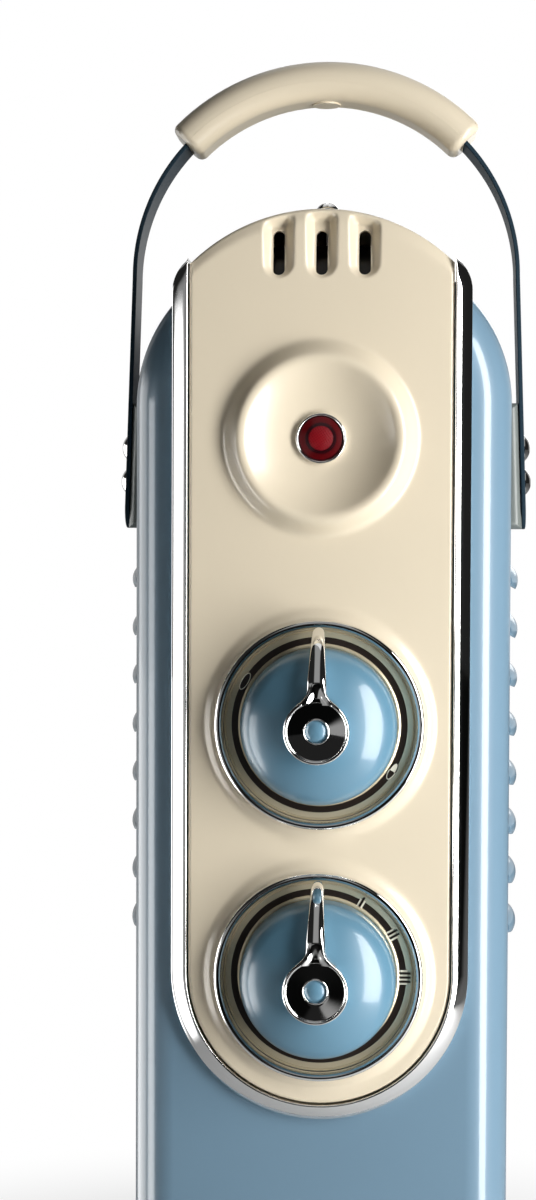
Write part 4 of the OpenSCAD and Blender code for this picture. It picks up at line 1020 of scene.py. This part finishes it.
def add_arm(bm, z):
    """Arm: it leaves the hub as a channel, rounds over, tapers to a round tip and follows the knob down."""
    ridge = arc(6.5, -2.6, 36.0, 69, 21, 40)
    grid = bmesh.ops.create_grid(bm, x_segments=24, y_segments=56, size=1.0)["verts"]
    for vert in grid:
        u, v = math.sin(math.pi / 2 * vert.co.x), (vert.co.y + 1) / 2
        r = ARM_START + (ARM_END - ARM_START) * math.sin(math.pi / 2 * v)
        width = arm_width(r)
        height = arm_height(r, ridge) + arm_crown(u, r, width)
        vert.co = Vector((u * width, SEAT / MM - height, z / MM + r)) * MM
    strip = set(grid)
    faces = [f for f in bm.faces if set(f.verts) <= strip]
    for vert in new_points(bmesh.ops.extrude_face_region(bm, geom=faces)["geom"]):
        vert.co.y = SEAT - arm_underside(vert.co.z / MM - z / MM) * MM
    bmesh.ops.recalc_face_normals(bm, faces=bm.faces[:])


def build_pointer(z, name, body):
    bm = bmesh.new()
    add_hub(bm, z)
    add_arm(bm, z)
    pointer = loose(name + "_pointer_arm", bm)
    soft_edges(pointer, 0.35 * MM, 3, 50)
    settle(pointer)
    smooth(pointer, 45)
    place(pointer, [finishes()["chrome"]], body, "polished_chrome", name + "_pointer")


def arm_crown(u, r, width):
    """Height across the arm: a channel between two rims at the hub, a round bar further out."""
    depth = min(1.9, width * 0.62)
    bar = 0.35 - depth * (1 - math.sqrt(max(0.0, 1 - u * u)))
    rim = abs(u)
    if rim < 0.82:
        channel = -0.9 + 0.9 * (1 - math.cos(math.pi * rim / 0.82))
    else:
        channel = 0.9 - 2.2 * ((rim - 0.82) / 0.18) ** 2
    return bar + (channel - bar) * ease(-r, -19.5, -12.5)


def arm_height(r, ridge):
    """Height of the arm's ridge at a distance from the middle of the hub."""
    for (r0, h0), (r1, h1) in zip(ridge, ridge[1:]):
        if r0 <= r <= r1:
            return h0 + (h1 - h0) * (r - r0) / (r1 - r0)
    return ridge[0][1] if r < ridge[0][0] else ridge[-1][1]


def arm_underside(r):
    """Height of the arm's lower side, just above the knob."""
    x, h, crown_h, _ = knob_shoulder(sizes().knob_radius / MM)
    lift, tip_h = 0.3, 8.6
    if r <= x + SHOULDER_R * 0.6 and r < 22:
        return crown_h + math.sqrt(max(0.0, (CROWN_R + lift) ** 2 - r * r))
    reach = SHOULDER_R + lift
    steep = reach * 0.97
    if r < x + steep:
        return h + math.sqrt(max(0.0, reach ** 2 - (r - x) ** 2))
    edge = h + math.sqrt(reach ** 2 - steep ** 2)
    return edge + (tip_h - edge) * min(1.0, (r - x - steep) / (ARM_END - x - steep))


# Pilot lamp, with its sizes in millimetres

LAMP_R, LAMP_TUBE_R, LENS_DOME_R, LENS_EDGE_R = 10.25, 8.4, 27.0, 9.1


def build_lamp():
    """Bright ring in the bowl and the domed lens in it."""
    centre = (0, SEAT, LAMP_Z)
    floor = dish_relief(LAMP_R) + 0.02
    bm = bmesh.new()
    ring = [(LAMP_TUBE_R, floor - 6), (9.0, floor - 6), (9.0, floor - 0.1), (LAMP_R, floor)]
    ring += [(LAMP_R, floor + 1.6)] + arc(LAMP_R - 0.55, floor + 1.7, 0.55, 0, 180, 12)
    ring += [(9.15, floor + 0.8), (LAMP_TUBE_R, floor + 0.8)]
    turned(bm, ring, centre, 96, closed=True)
    bezel = loose("lamp_ring", bm)
    smooth(bezel, 40)
    place(bezel, [finishes()["chrome"]], BODY, "polished_chrome", "lamp_bezel")
    bm = bmesh.new()
    edge = math.degrees(math.asin(LENS_EDGE_R / LENS_DOME_R))
    lens = [(0, floor - 1), (8.35, floor - 1), (8.35, floor + 0.8), (LENS_EDGE_R, floor + 0.8)]
    lens += arc(0, floor + 2.8 - LENS_DOME_R, LENS_DOME_R, 90 - edge, 90, 16)
    turned(bm, lens, centre, 96)
    glass = loose("lamp_glass", bm)
    smooth(glass, 40)
    place(glass, [finishes()["lens"]], BODY, "red_lens", "lamp_lens")


# Handle, with its sizes in millimetres

GRIP_T, GRIP_OVER, GRIP_W, GRIP_HALF_ANGLE, GRIP_CORNER_R = 16.4, 8.7, 27.0, 46.5, 7.9
PAD_R, PAD_T, PAD_LIFT = 6.0, 2.0, 0.2
SPACER_H, SPACER_HALF, SPACER_CORNER_R = 53.0, 11.0, 10.8
SCREW_FOOT, SCREW_PITCH = 20.0, 14.3


def build_strap():
    """Bent steel strap with round ends."""
    bm = bmesh.new()
    inner, outer = (STRAP_R - STRAP_T) * MM, STRAP_R * MM
    low, high = STRAP_Y - STRAP_W / 2 * MM, STRAP_Y + STRAP_W / 2 * MM
    section = [(inner, low, STRAP_Z), (outer, low, STRAP_Z), (outer, high, STRAP_Z), (inner, high, STRAP_Z)]
    verts, edges = chain(bm, section, closed=True)
    bmesh.ops.spin(bm, geom=verts + edges, cent=(0, 0, STRAP_Z), axis=(0, -1, 0), dvec=(0, 0, 0),
                   angle=math.pi / 2, steps=64)
    ends = new_points(bmesh.ops.extrude_edge_only(bm, edges=edges)["geom"])
    drop = (STRAP_ARM * math.tan(STRAP_LEAN) * MM, 0, -STRAP_ARM * MM)
    bmesh.ops.translate(bm, vec=drop, verts=ends)
    cap = bm.faces.new(ring_order(ends))
    corners = [e for e in cap.edges if abs(e.verts[0].co.y - e.verts[1].co.y) < 1e-7]
    bevel(bm, corners, (STRAP_W / 2 - 0.2) * MM, 14)
    mirror_across(bm, 1e-6)
    strap = loose("strap", bm)
    soft_edges(strap, 0.45 * MM, 3, 45)
    settle(strap)
    smooth(strap, 50)
    place(strap, [finishes()["strap"]], BODY, "strap_paint", "handle_strap")


def ring_order(verts):
    """Orders a few points round their middle in the XY plane."""
    mid = sum((v.co for v in verts), Vector()) / len(verts)
    return sorted(verts, key=lambda v: math.atan2(v.co.y - mid.y, v.co.x - mid.x))


def grip_bar():
    """The whole grip: a bent bar with round corners and round ends."""
    inner, outer = STRAP_R + GRIP_OVER - GRIP_T, STRAP_R + GRIP_OVER
    r, half = GRIP_CORNER_R, GRIP_W / 2
    section = []
    for cx, cy, a in ((outer - r, half - r, 0), (inner + r, half - r, 90), (inner + r, r - half, 180),
                      (outer - r, r - half, 270)):
        section += arc(cx, cy, r, a, a + 90, 10)
    bm = bmesh.new()
    verts, edges = chain(bm, [(x * MM, STRAP_Y + y * MM, STRAP_Z) for x, y in section], closed=True)
    centre = (0, STRAP_Y, STRAP_Z)
    start = Matrix.Rotation(-math.radians(90 - GRIP_HALF_ANGLE), 3, "Y")
    bmesh.ops.rotate(bm, cent=centre, matrix=start, verts=verts)
    made = bmesh.ops.spin(bm, geom=verts + edges, cent=centre, axis=(0, -1, 0), dvec=(0, 0, 0),
                          angle=math.radians(2 * GRIP_HALF_ANGLE), steps=36)
    for ends in (edges, [g for g in made["geom_last"] if isinstance(g, bmesh.types.BMEdge)]):
        bmesh.ops.contextual_create(bm, geom=ends)
    close_up(bm)
    caps = [f for f in bm.faces if len(f.verts) > 8]
    bevel(bm, [e for cap in caps for e in cap.edges], sizes().grip_end, 8)
    return bm


def grip_parting(inner, outer):
    """Round cutter on the strap's axis between two radii, wider than the grip."""
    bm = bmesh.new()
    section = [(inner, -GRIP_W - 3), (outer, -GRIP_W - 3), (outer, GRIP_W + 3), (inner, GRIP_W + 3)]
    verts, edges = chain(bm, [(x * MM, STRAP_Y + y * MM, STRAP_Z) for x, y in section], closed=True)
    bmesh.ops.spin(bm, geom=verts + edges, cent=(0, STRAP_Y, STRAP_Z), axis=(0, -1, 0), dvec=(0, 0, 0),
                   angle=TURN, steps=288, use_merge=True)
    close_up(bm)
    return loose("parting", bm)


def add_pad(obj):
    """Round pad in the middle of the grip's lower side."""
    bm = bmesh.new()
    bm.from_mesh(obj.data)
    pad = bmesh.ops.create_cone(bm, cap_ends=True, segments=48, radius1=PAD_R * MM, radius2=PAD_R * MM,
                                depth=PAD_T * MM)["verts"]
    height = STRAP_Z + (STRAP_R + GRIP_OVER - GRIP_T + PAD_LIFT) * MM
    bmesh.ops.translate(bm, vec=(0, STRAP_Y, height), verts=pad)
    bm.to_mesh(obj.data)
    bm.free()


def build_grip():
    """The grip's two halves, which meet along the middle of the strap."""
    split, deep, high = STRAP_R - STRAP_T / 2, 20.0, 140.0
    for name, node, inner, outer in (("grip_top", "grip_upper", deep, split),
                                     ("grip_bottom", "grip_lower", split, high)):
        half = loose(name, grip_bar())
        cut(half, grip_parting(inner, outer))
        if node == "grip_lower":
            add_pad(half)
        soft_edges(half, 0.3 * MM, 2, 60)
        settle(half)
        smooth(half, 40)
        place(half, [finishes()["cream"]], BODY, "cream_plastic", node)


def strap_face(z):
    """Distance from the middle to the strap's outer face at a height, in millimetres."""
    return STRAP_R + (STRAP_Z / MM - z) * math.tan(STRAP_LEAN)


def strap_end():
    return STRAP_Z / MM - STRAP_ARM


def build_spacers():
    """Wedges between the housing and the strap's ends, with round lower corners."""
    foot, head = strap_end(), strap_end() + SPACER_H
    half = sizes().housing_width / 2 / MM
    gap = STRAP_T / math.cos(STRAP_LEAN)
    bm = bmesh.new()
    verts = block(bm, (half * MM, STRAP_Y - SPACER_HALF * MM, foot * MM),
                  ((strap_face(foot) - gap) * MM, STRAP_Y + SPACER_HALF * MM, head * MM))
    for vert in verts:
        if vert.co.x > (half + 0.5) * MM and vert.co.z > (foot + 1) * MM:
            vert.co.x = (strap_face(head) - gap) * MM
    corners = [e for e in bm.edges if abs(e.verts[0].co.x - e.verts[1].co.x) > 1 * MM
               and abs(e.verts[0].co.y - e.verts[1].co.y) < 1e-7]
    bevel(bm, corners, SPACER_CORNER_R * MM, 14)
    mirror_across(bm)
    spacer = loose("arm_spacers", bm)
    soft_edges(spacer, 0.5 * MM, 3, 45)
    settle(spacer)
    smooth(spacer, 50)
    place(spacer, [finishes()["spacer"]], BODY, "black_plastic", "strap_spacers")


def build_screws():
    bm = bmesh.new()
    for k in (0, 1):
        screw_head(bm, strap_end() + SCREW_FOOT + SCREW_PITCH * k)
    mirror_across(bm)
    screws = loose("arm_screws", bm)
    smooth(screws, 35)
    place(screws, [finishes()["chrome"]], BODY, "polished_chrome", "strap_screws")


def screw_head(bm, z):
    """Domed head on the strap's outer face, with a washer face and a round recess."""
    x = strap_face(z) + 0.1
    profile = [(0, -12), (2.5, -12), (2.5, 0), (5.5, 0), (5.5, 0.45)] + arc(0, -4.1, 7.1, 40, 74, 8)
    recess = [(1.7, 2.65), (1.2, 1.6), (0, 1.3)]
    verts, edges = chain(bm, [((x + h) * MM, STRAP_Y, (z + r) * MM) for r, h in profile + recess])
    bmesh.ops.spin(bm, geom=verts + edges, cent=(x * MM, STRAP_Y, z * MM), axis=(1, 0, 0), dvec=(0, 0, 0),
                   angle=TURN, steps=48, use_merge=True)


# The rest of the frame


def merged_copy(node, name, material, slot):
    """A piece with the CAD node's own shape, its loose triangles joined and smoothly shaded."""
    source = frame["nodes"][node]
    bm = bmesh.new()
    bm.from_mesh(source.data)
    bmesh.ops.remove_doubles(bm, verts=bm.verts[:], dist=2e-6)
    bmesh.ops.dissolve_limit(bm, angle_limit=math.radians(0.05), verts=bm.verts[:], edges=bm.edges[:],
                             delimit={"NORMAL"})
    obj = loose(name, bm)
    smooth(obj, 30)
    place(obj, [material], source["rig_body"], slot, node)


def build_column():
    """The oil fins and the plugs of their headers."""
    for k in range(1, 10):
        merged_copy(f"fin_{k}", f"oil_fin_{k}", finishes()["fin_enamel"], "fin_enamel")
    merged_copy("header_caps", "header_plugs", finishes()["fin_enamel"], "fin_enamel")


def build_running_gear():
    """The feet, their clamps and nuts, and the castors."""
    for node, name in (("front_foot", "foot_front"), ("rear_foot", "foot_rear")):
        merged_copy(node, name, finishes()["foot_paint"], "foot_paint")
    for node in ("foot_clamps", "wing_nuts"):
        merged_copy(node, node + "_plated", finishes()["zinc"], "zinc_steel")
    for k in range(1, 5):
        merged_copy(f"castor_{k}_hood", f"castor_{k}_cover", finishes()["black"], "black_plastic")
        merged_copy(f"castor_{k}_wheels", f"castor_{k}_wheel_pair", finishes()["castor"], "castor_wheel")


NODE_FINISH = {
    "fin_enamel": "fin_enamel", "housing_enamel": "enamel", "element_steel": "steel", "brass": "brass",
    "zinc_steel": "zinc", "cream_plastic": "cream", "polished_chrome": "chrome", "red_lens": "lens",
    "champagne_dial": "champagne", "black_plastic": "black", "white_plastic": "white", "knob_plastic": "knob",
    "strap_paint": "strap", "foot_paint": "foot_paint", "castor_wheel": "castor",
}


def finish_nodes():
    """Gives every CAD node the finish of its slot."""
    slots = {part["node"]: part["material_slot"] for part in frame["record"]["subparts"]}
    for node, obj in frame["nodes"].items():
        material = finishes()[NODE_FINISH[slots[node]]]
        for entry in obj.material_slots:
            entry.material = material


# Studio

# Strengths of what the shining parts see: two bright strips at the left, and a pale card round them
SIDE_GLOW, RIM_GLOW, CARD_GLOW, ABOVE_GLOW, DARK_GLOW, BEHIND_GLOW = 8.5, 4.0, 0.32, 0.38, 0.02, 0.7
FLOOR_GLOW, FLOOR_HALF = 0.42, 6.0
LENS_MM, EYE_X, EYE_BACK, EYE_Z = 59.78, 0.0324, 0.806, 0.5024
YAW, PITCH, ROLL = math.radians(3.8), math.radians(-2.02), math.radians(0.2)


def area_lamp(name, spot, aim, width, height, power):
    """White rectangular lamp at a spot, turned towards its aim."""
    light = bpy.data.lights.new(name, "AREA")
    light.shape = "RECTANGLE"
    light.size, light.size_y = width, height
    light.energy = power
    obj = bpy.data.objects.new(name, light)
    bpy.context.scene.collection.objects.link(obj)
    obj.location = spot
    obj.rotation_euler = (Vector(aim) - Vector(spot)).to_track_quat("-Z", "Y").to_euler()


def build_camera():
    """Camera fitted to the photograph: a little above the lamp and to the right of the middle."""
    data = bpy.data.cameras.new("camera")
    data.sensor_width = 36.0
    data.lens = LENS_MM
    obj = bpy.data.objects.new("camera", data)
    bpy.context.scene.collection.objects.link(obj)
    turn = Matrix.Rotation(YAW, 4, "Z") @ Matrix.Rotation(math.pi / 2 + PITCH, 4, "X")
    turn = turn @ Matrix.Rotation(ROLL, 4, "Z")
    obj.matrix_world = Matrix.Translation((EYE_X, SEAT - EYE_BACK, EYE_Z)) @ turn
    bpy.context.scene.camera = obj


def glow(tree, strength, shade=1.0):
    """Background shader in a grey shade."""
    node = add(tree, "ShaderNodeBackground", {"Color": (shade, shade, shade, 1), "Strength": strength})
    return node.outputs[0]


def shine(tree, strength):
    """White emission shader."""
    return add(tree, "ShaderNodeEmission", {"Strength": strength}).outputs[0]


def both(tree, first, second):
    """Sum of two shaders."""
    return add(tree, "ShaderNodeAddShader", {0: first, 1: second}).outputs[0]


def either(tree, share, first, second):
    """Mix of two shaders, by the second one's share."""
    return add(tree, "ShaderNodeMixShader", {0: share, 1: first, 2: second}).outputs[0]


def room_light(tree, x, y, z):
    """What shining parts see: a dark room with strips and a card at the left, and white behind."""
    card = product(tree, ramp(tree, x, -0.38, -0.50), ramp(tree, z, 0.28, 0.13), ramp(tree, y, -0.12, -0.28))
    side = product(tree, ramp(tree, y, -0.48, -0.38), ramp(tree, y, -0.04, -0.15))
    side = product(tree, side, ramp(tree, z, 0.125, 0.055))
    rim = product(tree, ramp(tree, y, -0.02, 0.10), ramp(tree, y, 0.72, 0.58), ramp(tree, z, 0.26, 0.14))
    strips = maths(tree, "MULTIPLY_ADD", side, SIDE_GLOW, product(tree, rim, RIM_GLOW))
    strips = product(tree, strips, ramp(tree, x, -0.5, -0.6))
    above = product(tree, ramp(tree, z, 0.15, 0.40), ramp(tree, maths(tree, "ABSOLUTE", x), 0.34, 0.22))
    above = maths(tree, "MULTIPLY_ADD", above, ABOVE_GLOW, DARK_GLOW)
    front = maths(tree, "ADD", maths(tree, "MULTIPLY_ADD", card, CARD_GLOW, above), strips)
    return maths(tree, "MAXIMUM", front, ramp(tree, y, 0.45, 0.9, 0.0, BEHIND_GLOW))


def build_world():
    """White to the camera, a soft fill for matt surfaces and a studio room for shining ones."""
    world = bpy.data.worlds.new("studio")
    bpy.context.scene.world = world
    world.use_nodes = True
    tree = world.node_tree
    tree.nodes.clear()
    way = add(tree, "ShaderNodeTexCoord").outputs["Generated"]
    part = add(tree, "ShaderNodeSeparateXYZ", {0: way}).outputs
    x, y, z = part["X"], part["Y"], part["Z"]
    path = add(tree, "ShaderNodeLightPath").outputs
    fill = product(tree, ramp(tree, z, 0.8, -0.1, 0.08, 0.23), ramp(tree, x, -0.7, 0.5, 0.35, 1.25))
    room = glow(tree, room_light(tree, x, y, z), 0.8)
    light = either(tree, path["Is Glossy Ray"], glow(tree, fill), room)
    seen = maths(tree, "MAXIMUM", path["Is Camera Ray"], path["Is Transmission Ray"])
    add(tree, "ShaderNodeOutputWorld", {"Surface": either(tree, seen, light, glow(tree, 1.0))})


def floor_light(tree, x, y, glossy):
    """The strips and the card stand on the floor, so for shining parts they go on below the horizon."""
    way = maths(tree, "DIVIDE", maths(tree, "ADD", y, 0.2), x)
    side = product(tree, ramp(tree, way, 0.04, 0.15), ramp(tree, way, 0.54, 0.42))
    rim = product(tree, ramp(tree, way, 0.02, -0.10), ramp(tree, way, -1.0, -0.75))
    level = maths(tree, "MULTIPLY_ADD", rim, RIM_GLOW, CARD_GLOW)
    level = maths(tree, "MULTIPLY_ADD", side, SIDE_GLOW, level)
    return product(tree, glossy, ramp(tree, x, -0.38, -0.60), level)


def build_floor():
    """Pale floor that keeps the shadow near the object and is white further away."""
    bm = bmesh.new()
    bmesh.ops.create_grid(bm, x_segments=1, y_segments=1, size=FLOOR_HALF)
    obj = loose("studio_floor", bm)
    material = bpy.data.materials.new("Studio Floor")
    material.use_nodes = True
    tree = material.node_tree
    tree.nodes.clear()
    where = object_place(tree)
    part = add(tree, "ShaderNodeSeparateXYZ", {0: where}).outputs
    x, y = part["X"], part["Y"]
    path = add(tree, "ShaderNodeLightPath").outputs
    glossy = path["Is Glossy Ray"]
    # What shines sees the floor in front of the object fall into the dark
    front = product(tree, glossy, ramp(tree, y, -0.45, -0.75))
    tone = blend(tree, front, (0.82, 0.82, 0.82, 1), (0.02, 0.02, 0.02, 1))
    matt = add(tree, "ShaderNodeBsdfDiffuse", {"Color": tone}).outputs[0]
    lit = both(tree, matt, shine(tree, floor_light(tree, x, y, glossy)))
    # The camera sees the shadow near the object, and white further away
    reach = add(tree, "ShaderNodeVectorMath", {0: where}, operation="LENGTH").outputs["Value"]
    near = both(tree, matt, shine(tree, FLOOR_GLOW))
    seen = either(tree, ramp(tree, reach, 0.32, 0.62), near, shine(tree, 1.0))
    add(tree, "ShaderNodeOutputMaterial", {"Surface": either(tree, path["Is Camera Ray"], lit, seen)})
    obj.data.materials.append(material)


def build_stage():
    """Camera, world, floor and lamps: a key from the right, a weak top and one behind."""
    build_camera()
    build_world()
    build_floor()
    area_lamp("key", (0.580, -0.62, 0.42), (0.0, -0.2, 0.42), 0.23, 1.0, 10.3)
    area_lamp("top", (0.05, 0.25, 1.55), (0.0, 0.1, 0.5), 0.9, 0.9, 1.4)
    area_lamp("back", (0.3, 1.6, 1.1), (0.0, 0.2, 0.4), 1.0, 1.0, 5)
    bpy.context.scene.view_settings.view_transform = "Standard"


# Add-on


class RadiatorOperator:
    bl_options = {"REGISTER", "UNDO"}


class RADIATOR_OT_housing(RadiatorOperator, bpy.types.Operator):
    """Make the rounded front housing with its louvres"""
    bl_idname = "radiator.housing"
    bl_label = "Front Housing"

    def execute(self, context):
        build_housing()
        return {"FINISHED"}


class RADIATOR_OT_panel(RadiatorOperator, bpy.types.Operator):
    """Make the moulded control panel with its lamp bowl and vent scoops"""
    bl_idname = "radiator.panel"
    bl_label = "Control Panel"

    def execute(self, context):
        build_panel()
        return {"FINISHED"}


class RADIATOR_OT_trim(RadiatorOperator, bpy.types.Operator):
    """Make the bright trim round the panel"""
    bl_idname = "radiator.trim"
    bl_label = "Bright Trim"

    def execute(self, context):
        build_trim()
        return {"FINISHED"}


class RADIATOR_OT_dials(RadiatorOperator, bpy.types.Operator):
    """Make the two dials with their bright rings and marks"""
    bl_idname = "radiator.dials"
    bl_label = "Dials"

    def execute(self, context):
        build_dial(THERMOSTAT_Z, "thermostat")
        build_dial(SELECTOR_Z, "selector")
        return {"FINISHED"}


class RADIATOR_OT_knobs(RadiatorOperator, bpy.types.Operator):
    """Make the two knobs with their pointers and caps"""
    bl_idname = "radiator.knobs"
    bl_label = "Knobs"

    def execute(self, context):
        build_knob(THERMOSTAT_Z, "thermostat")
        build_knob(SELECTOR_Z, "selector")
        return {"FINISHED"}


class RADIATOR_OT_lamp(RadiatorOperator, bpy.types.Operator):
    """Make the pilot lamp's ring and lens"""
    bl_idname = "radiator.lamp"
    bl_label = "Pilot Lamp"

    def execute(self, context):
        build_lamp()
        return {"FINISHED"}


class RADIATOR_OT_handle(RadiatorOperator, bpy.types.Operator):
    """Make the handle's strap and grip"""
    bl_idname = "radiator.handle"
    bl_label = "Handle"

    def execute(self, context):
        build_strap()
        build_grip()
        return {"FINISHED"}


class RADIATOR_OT_fastenings(RadiatorOperator, bpy.types.Operator):
    """Make the spacers and screws at the strap's ends"""
    bl_idname = "radiator.fastenings"
    bl_label = "Spacers and Screws"

    def execute(self, context):
        build_spacers()
        build_screws()
        return {"FINISHED"}


class RADIATOR_OT_column(RadiatorOperator, bpy.types.Operator):
    """Make the oil fins and the plugs of their headers"""
    bl_idname = "radiator.column"
    bl_label = "Oil Fins"

    def execute(self, context):
        build_column()
        return {"FINISHED"}


class RADIATOR_OT_running_gear(RadiatorOperator, bpy.types.Operator):
    """Make the feet, their clamps and the castors"""
    bl_idname = "radiator.running_gear"
    bl_label = "Feet and Castors"

    def execute(self, context):
        build_running_gear()
        return {"FINISHED"}


class RADIATOR_OT_node_finishes(RadiatorOperator, bpy.types.Operator):
    """Give the CAD nodes their finishes"""
    bl_idname = "radiator.node_finishes"
    bl_label = "CAD Finishes"

    def execute(self, context):
        finish_nodes()
        return {"FINISHED"}


class RADIATOR_OT_stage(RadiatorOperator, bpy.types.Operator):
    """Set up the floor, the lamps, the world and the camera"""
    bl_idname = "radiator.stage"
    bl_label = "Studio"

    def execute(self, context):
        build_stage()
        return {"FINISHED"}


OPERATORS = (
    RADIATOR_OT_node_finishes, RADIATOR_OT_housing, RADIATOR_OT_panel, RADIATOR_OT_trim, RADIATOR_OT_dials,
    RADIATOR_OT_knobs, RADIATOR_OT_lamp, RADIATOR_OT_handle, RADIATOR_OT_fastenings, RADIATOR_OT_column,
    RADIATOR_OT_running_gear, RADIATOR_OT_stage,
)


class RADIATOR_PT_pieces(bpy.types.Panel):
    """Lists the radiator's pieces, sizes and colours"""
    bl_idname = "RADIATOR_PT_pieces"
    bl_label = "Radiator"
    bl_space_type = "VIEW_3D"
    bl_region_type = "UI"
    bl_category = "Radiator"

    def draw(self, context):
        layout = self.layout
        for operator in OPERATORS:
            layout.operator(operator.bl_idname)
        for group in (context.scene.radiator_sizes, context.scene.radiator_colours):
            box = layout.box()
            for name in group.__annotations__:
                box.prop(group, name)


CLASSES = (RadiatorSizes, RadiatorColours, *OPERATORS, RADIATOR_PT_pieces)


def register():
    for cls in CLASSES:
        bpy.utils.register_class(cls)
    bpy.types.Scene.radiator_sizes = PointerProperty(type=RadiatorSizes)
    bpy.types.Scene.radiator_colours = PointerProperty(type=RadiatorColours)


def unregister():
    del bpy.types.Scene.radiator_colours
    del bpy.types.Scene.radiator_sizes
    for cls in reversed(CLASSES):
        bpy.utils.unregister_class(cls)


def main():
    register()
    bpy.ops.radiator.node_finishes()
    bpy.ops.radiator.housing()
    bpy.ops.radiator.panel()
    bpy.ops.radiator.trim()
    bpy.ops.radiator.dials()
    bpy.ops.radiator.knobs()
    bpy.ops.radiator.lamp()
    bpy.ops.radiator.handle()
    bpy.ops.radiator.fastenings()
    bpy.ops.radiator.column()
    bpy.ops.radiator.running_gear()
    bpy.ops.radiator.stage()
    bpy.context.view_layer.update()


if __name__ == "__main__":
    main()
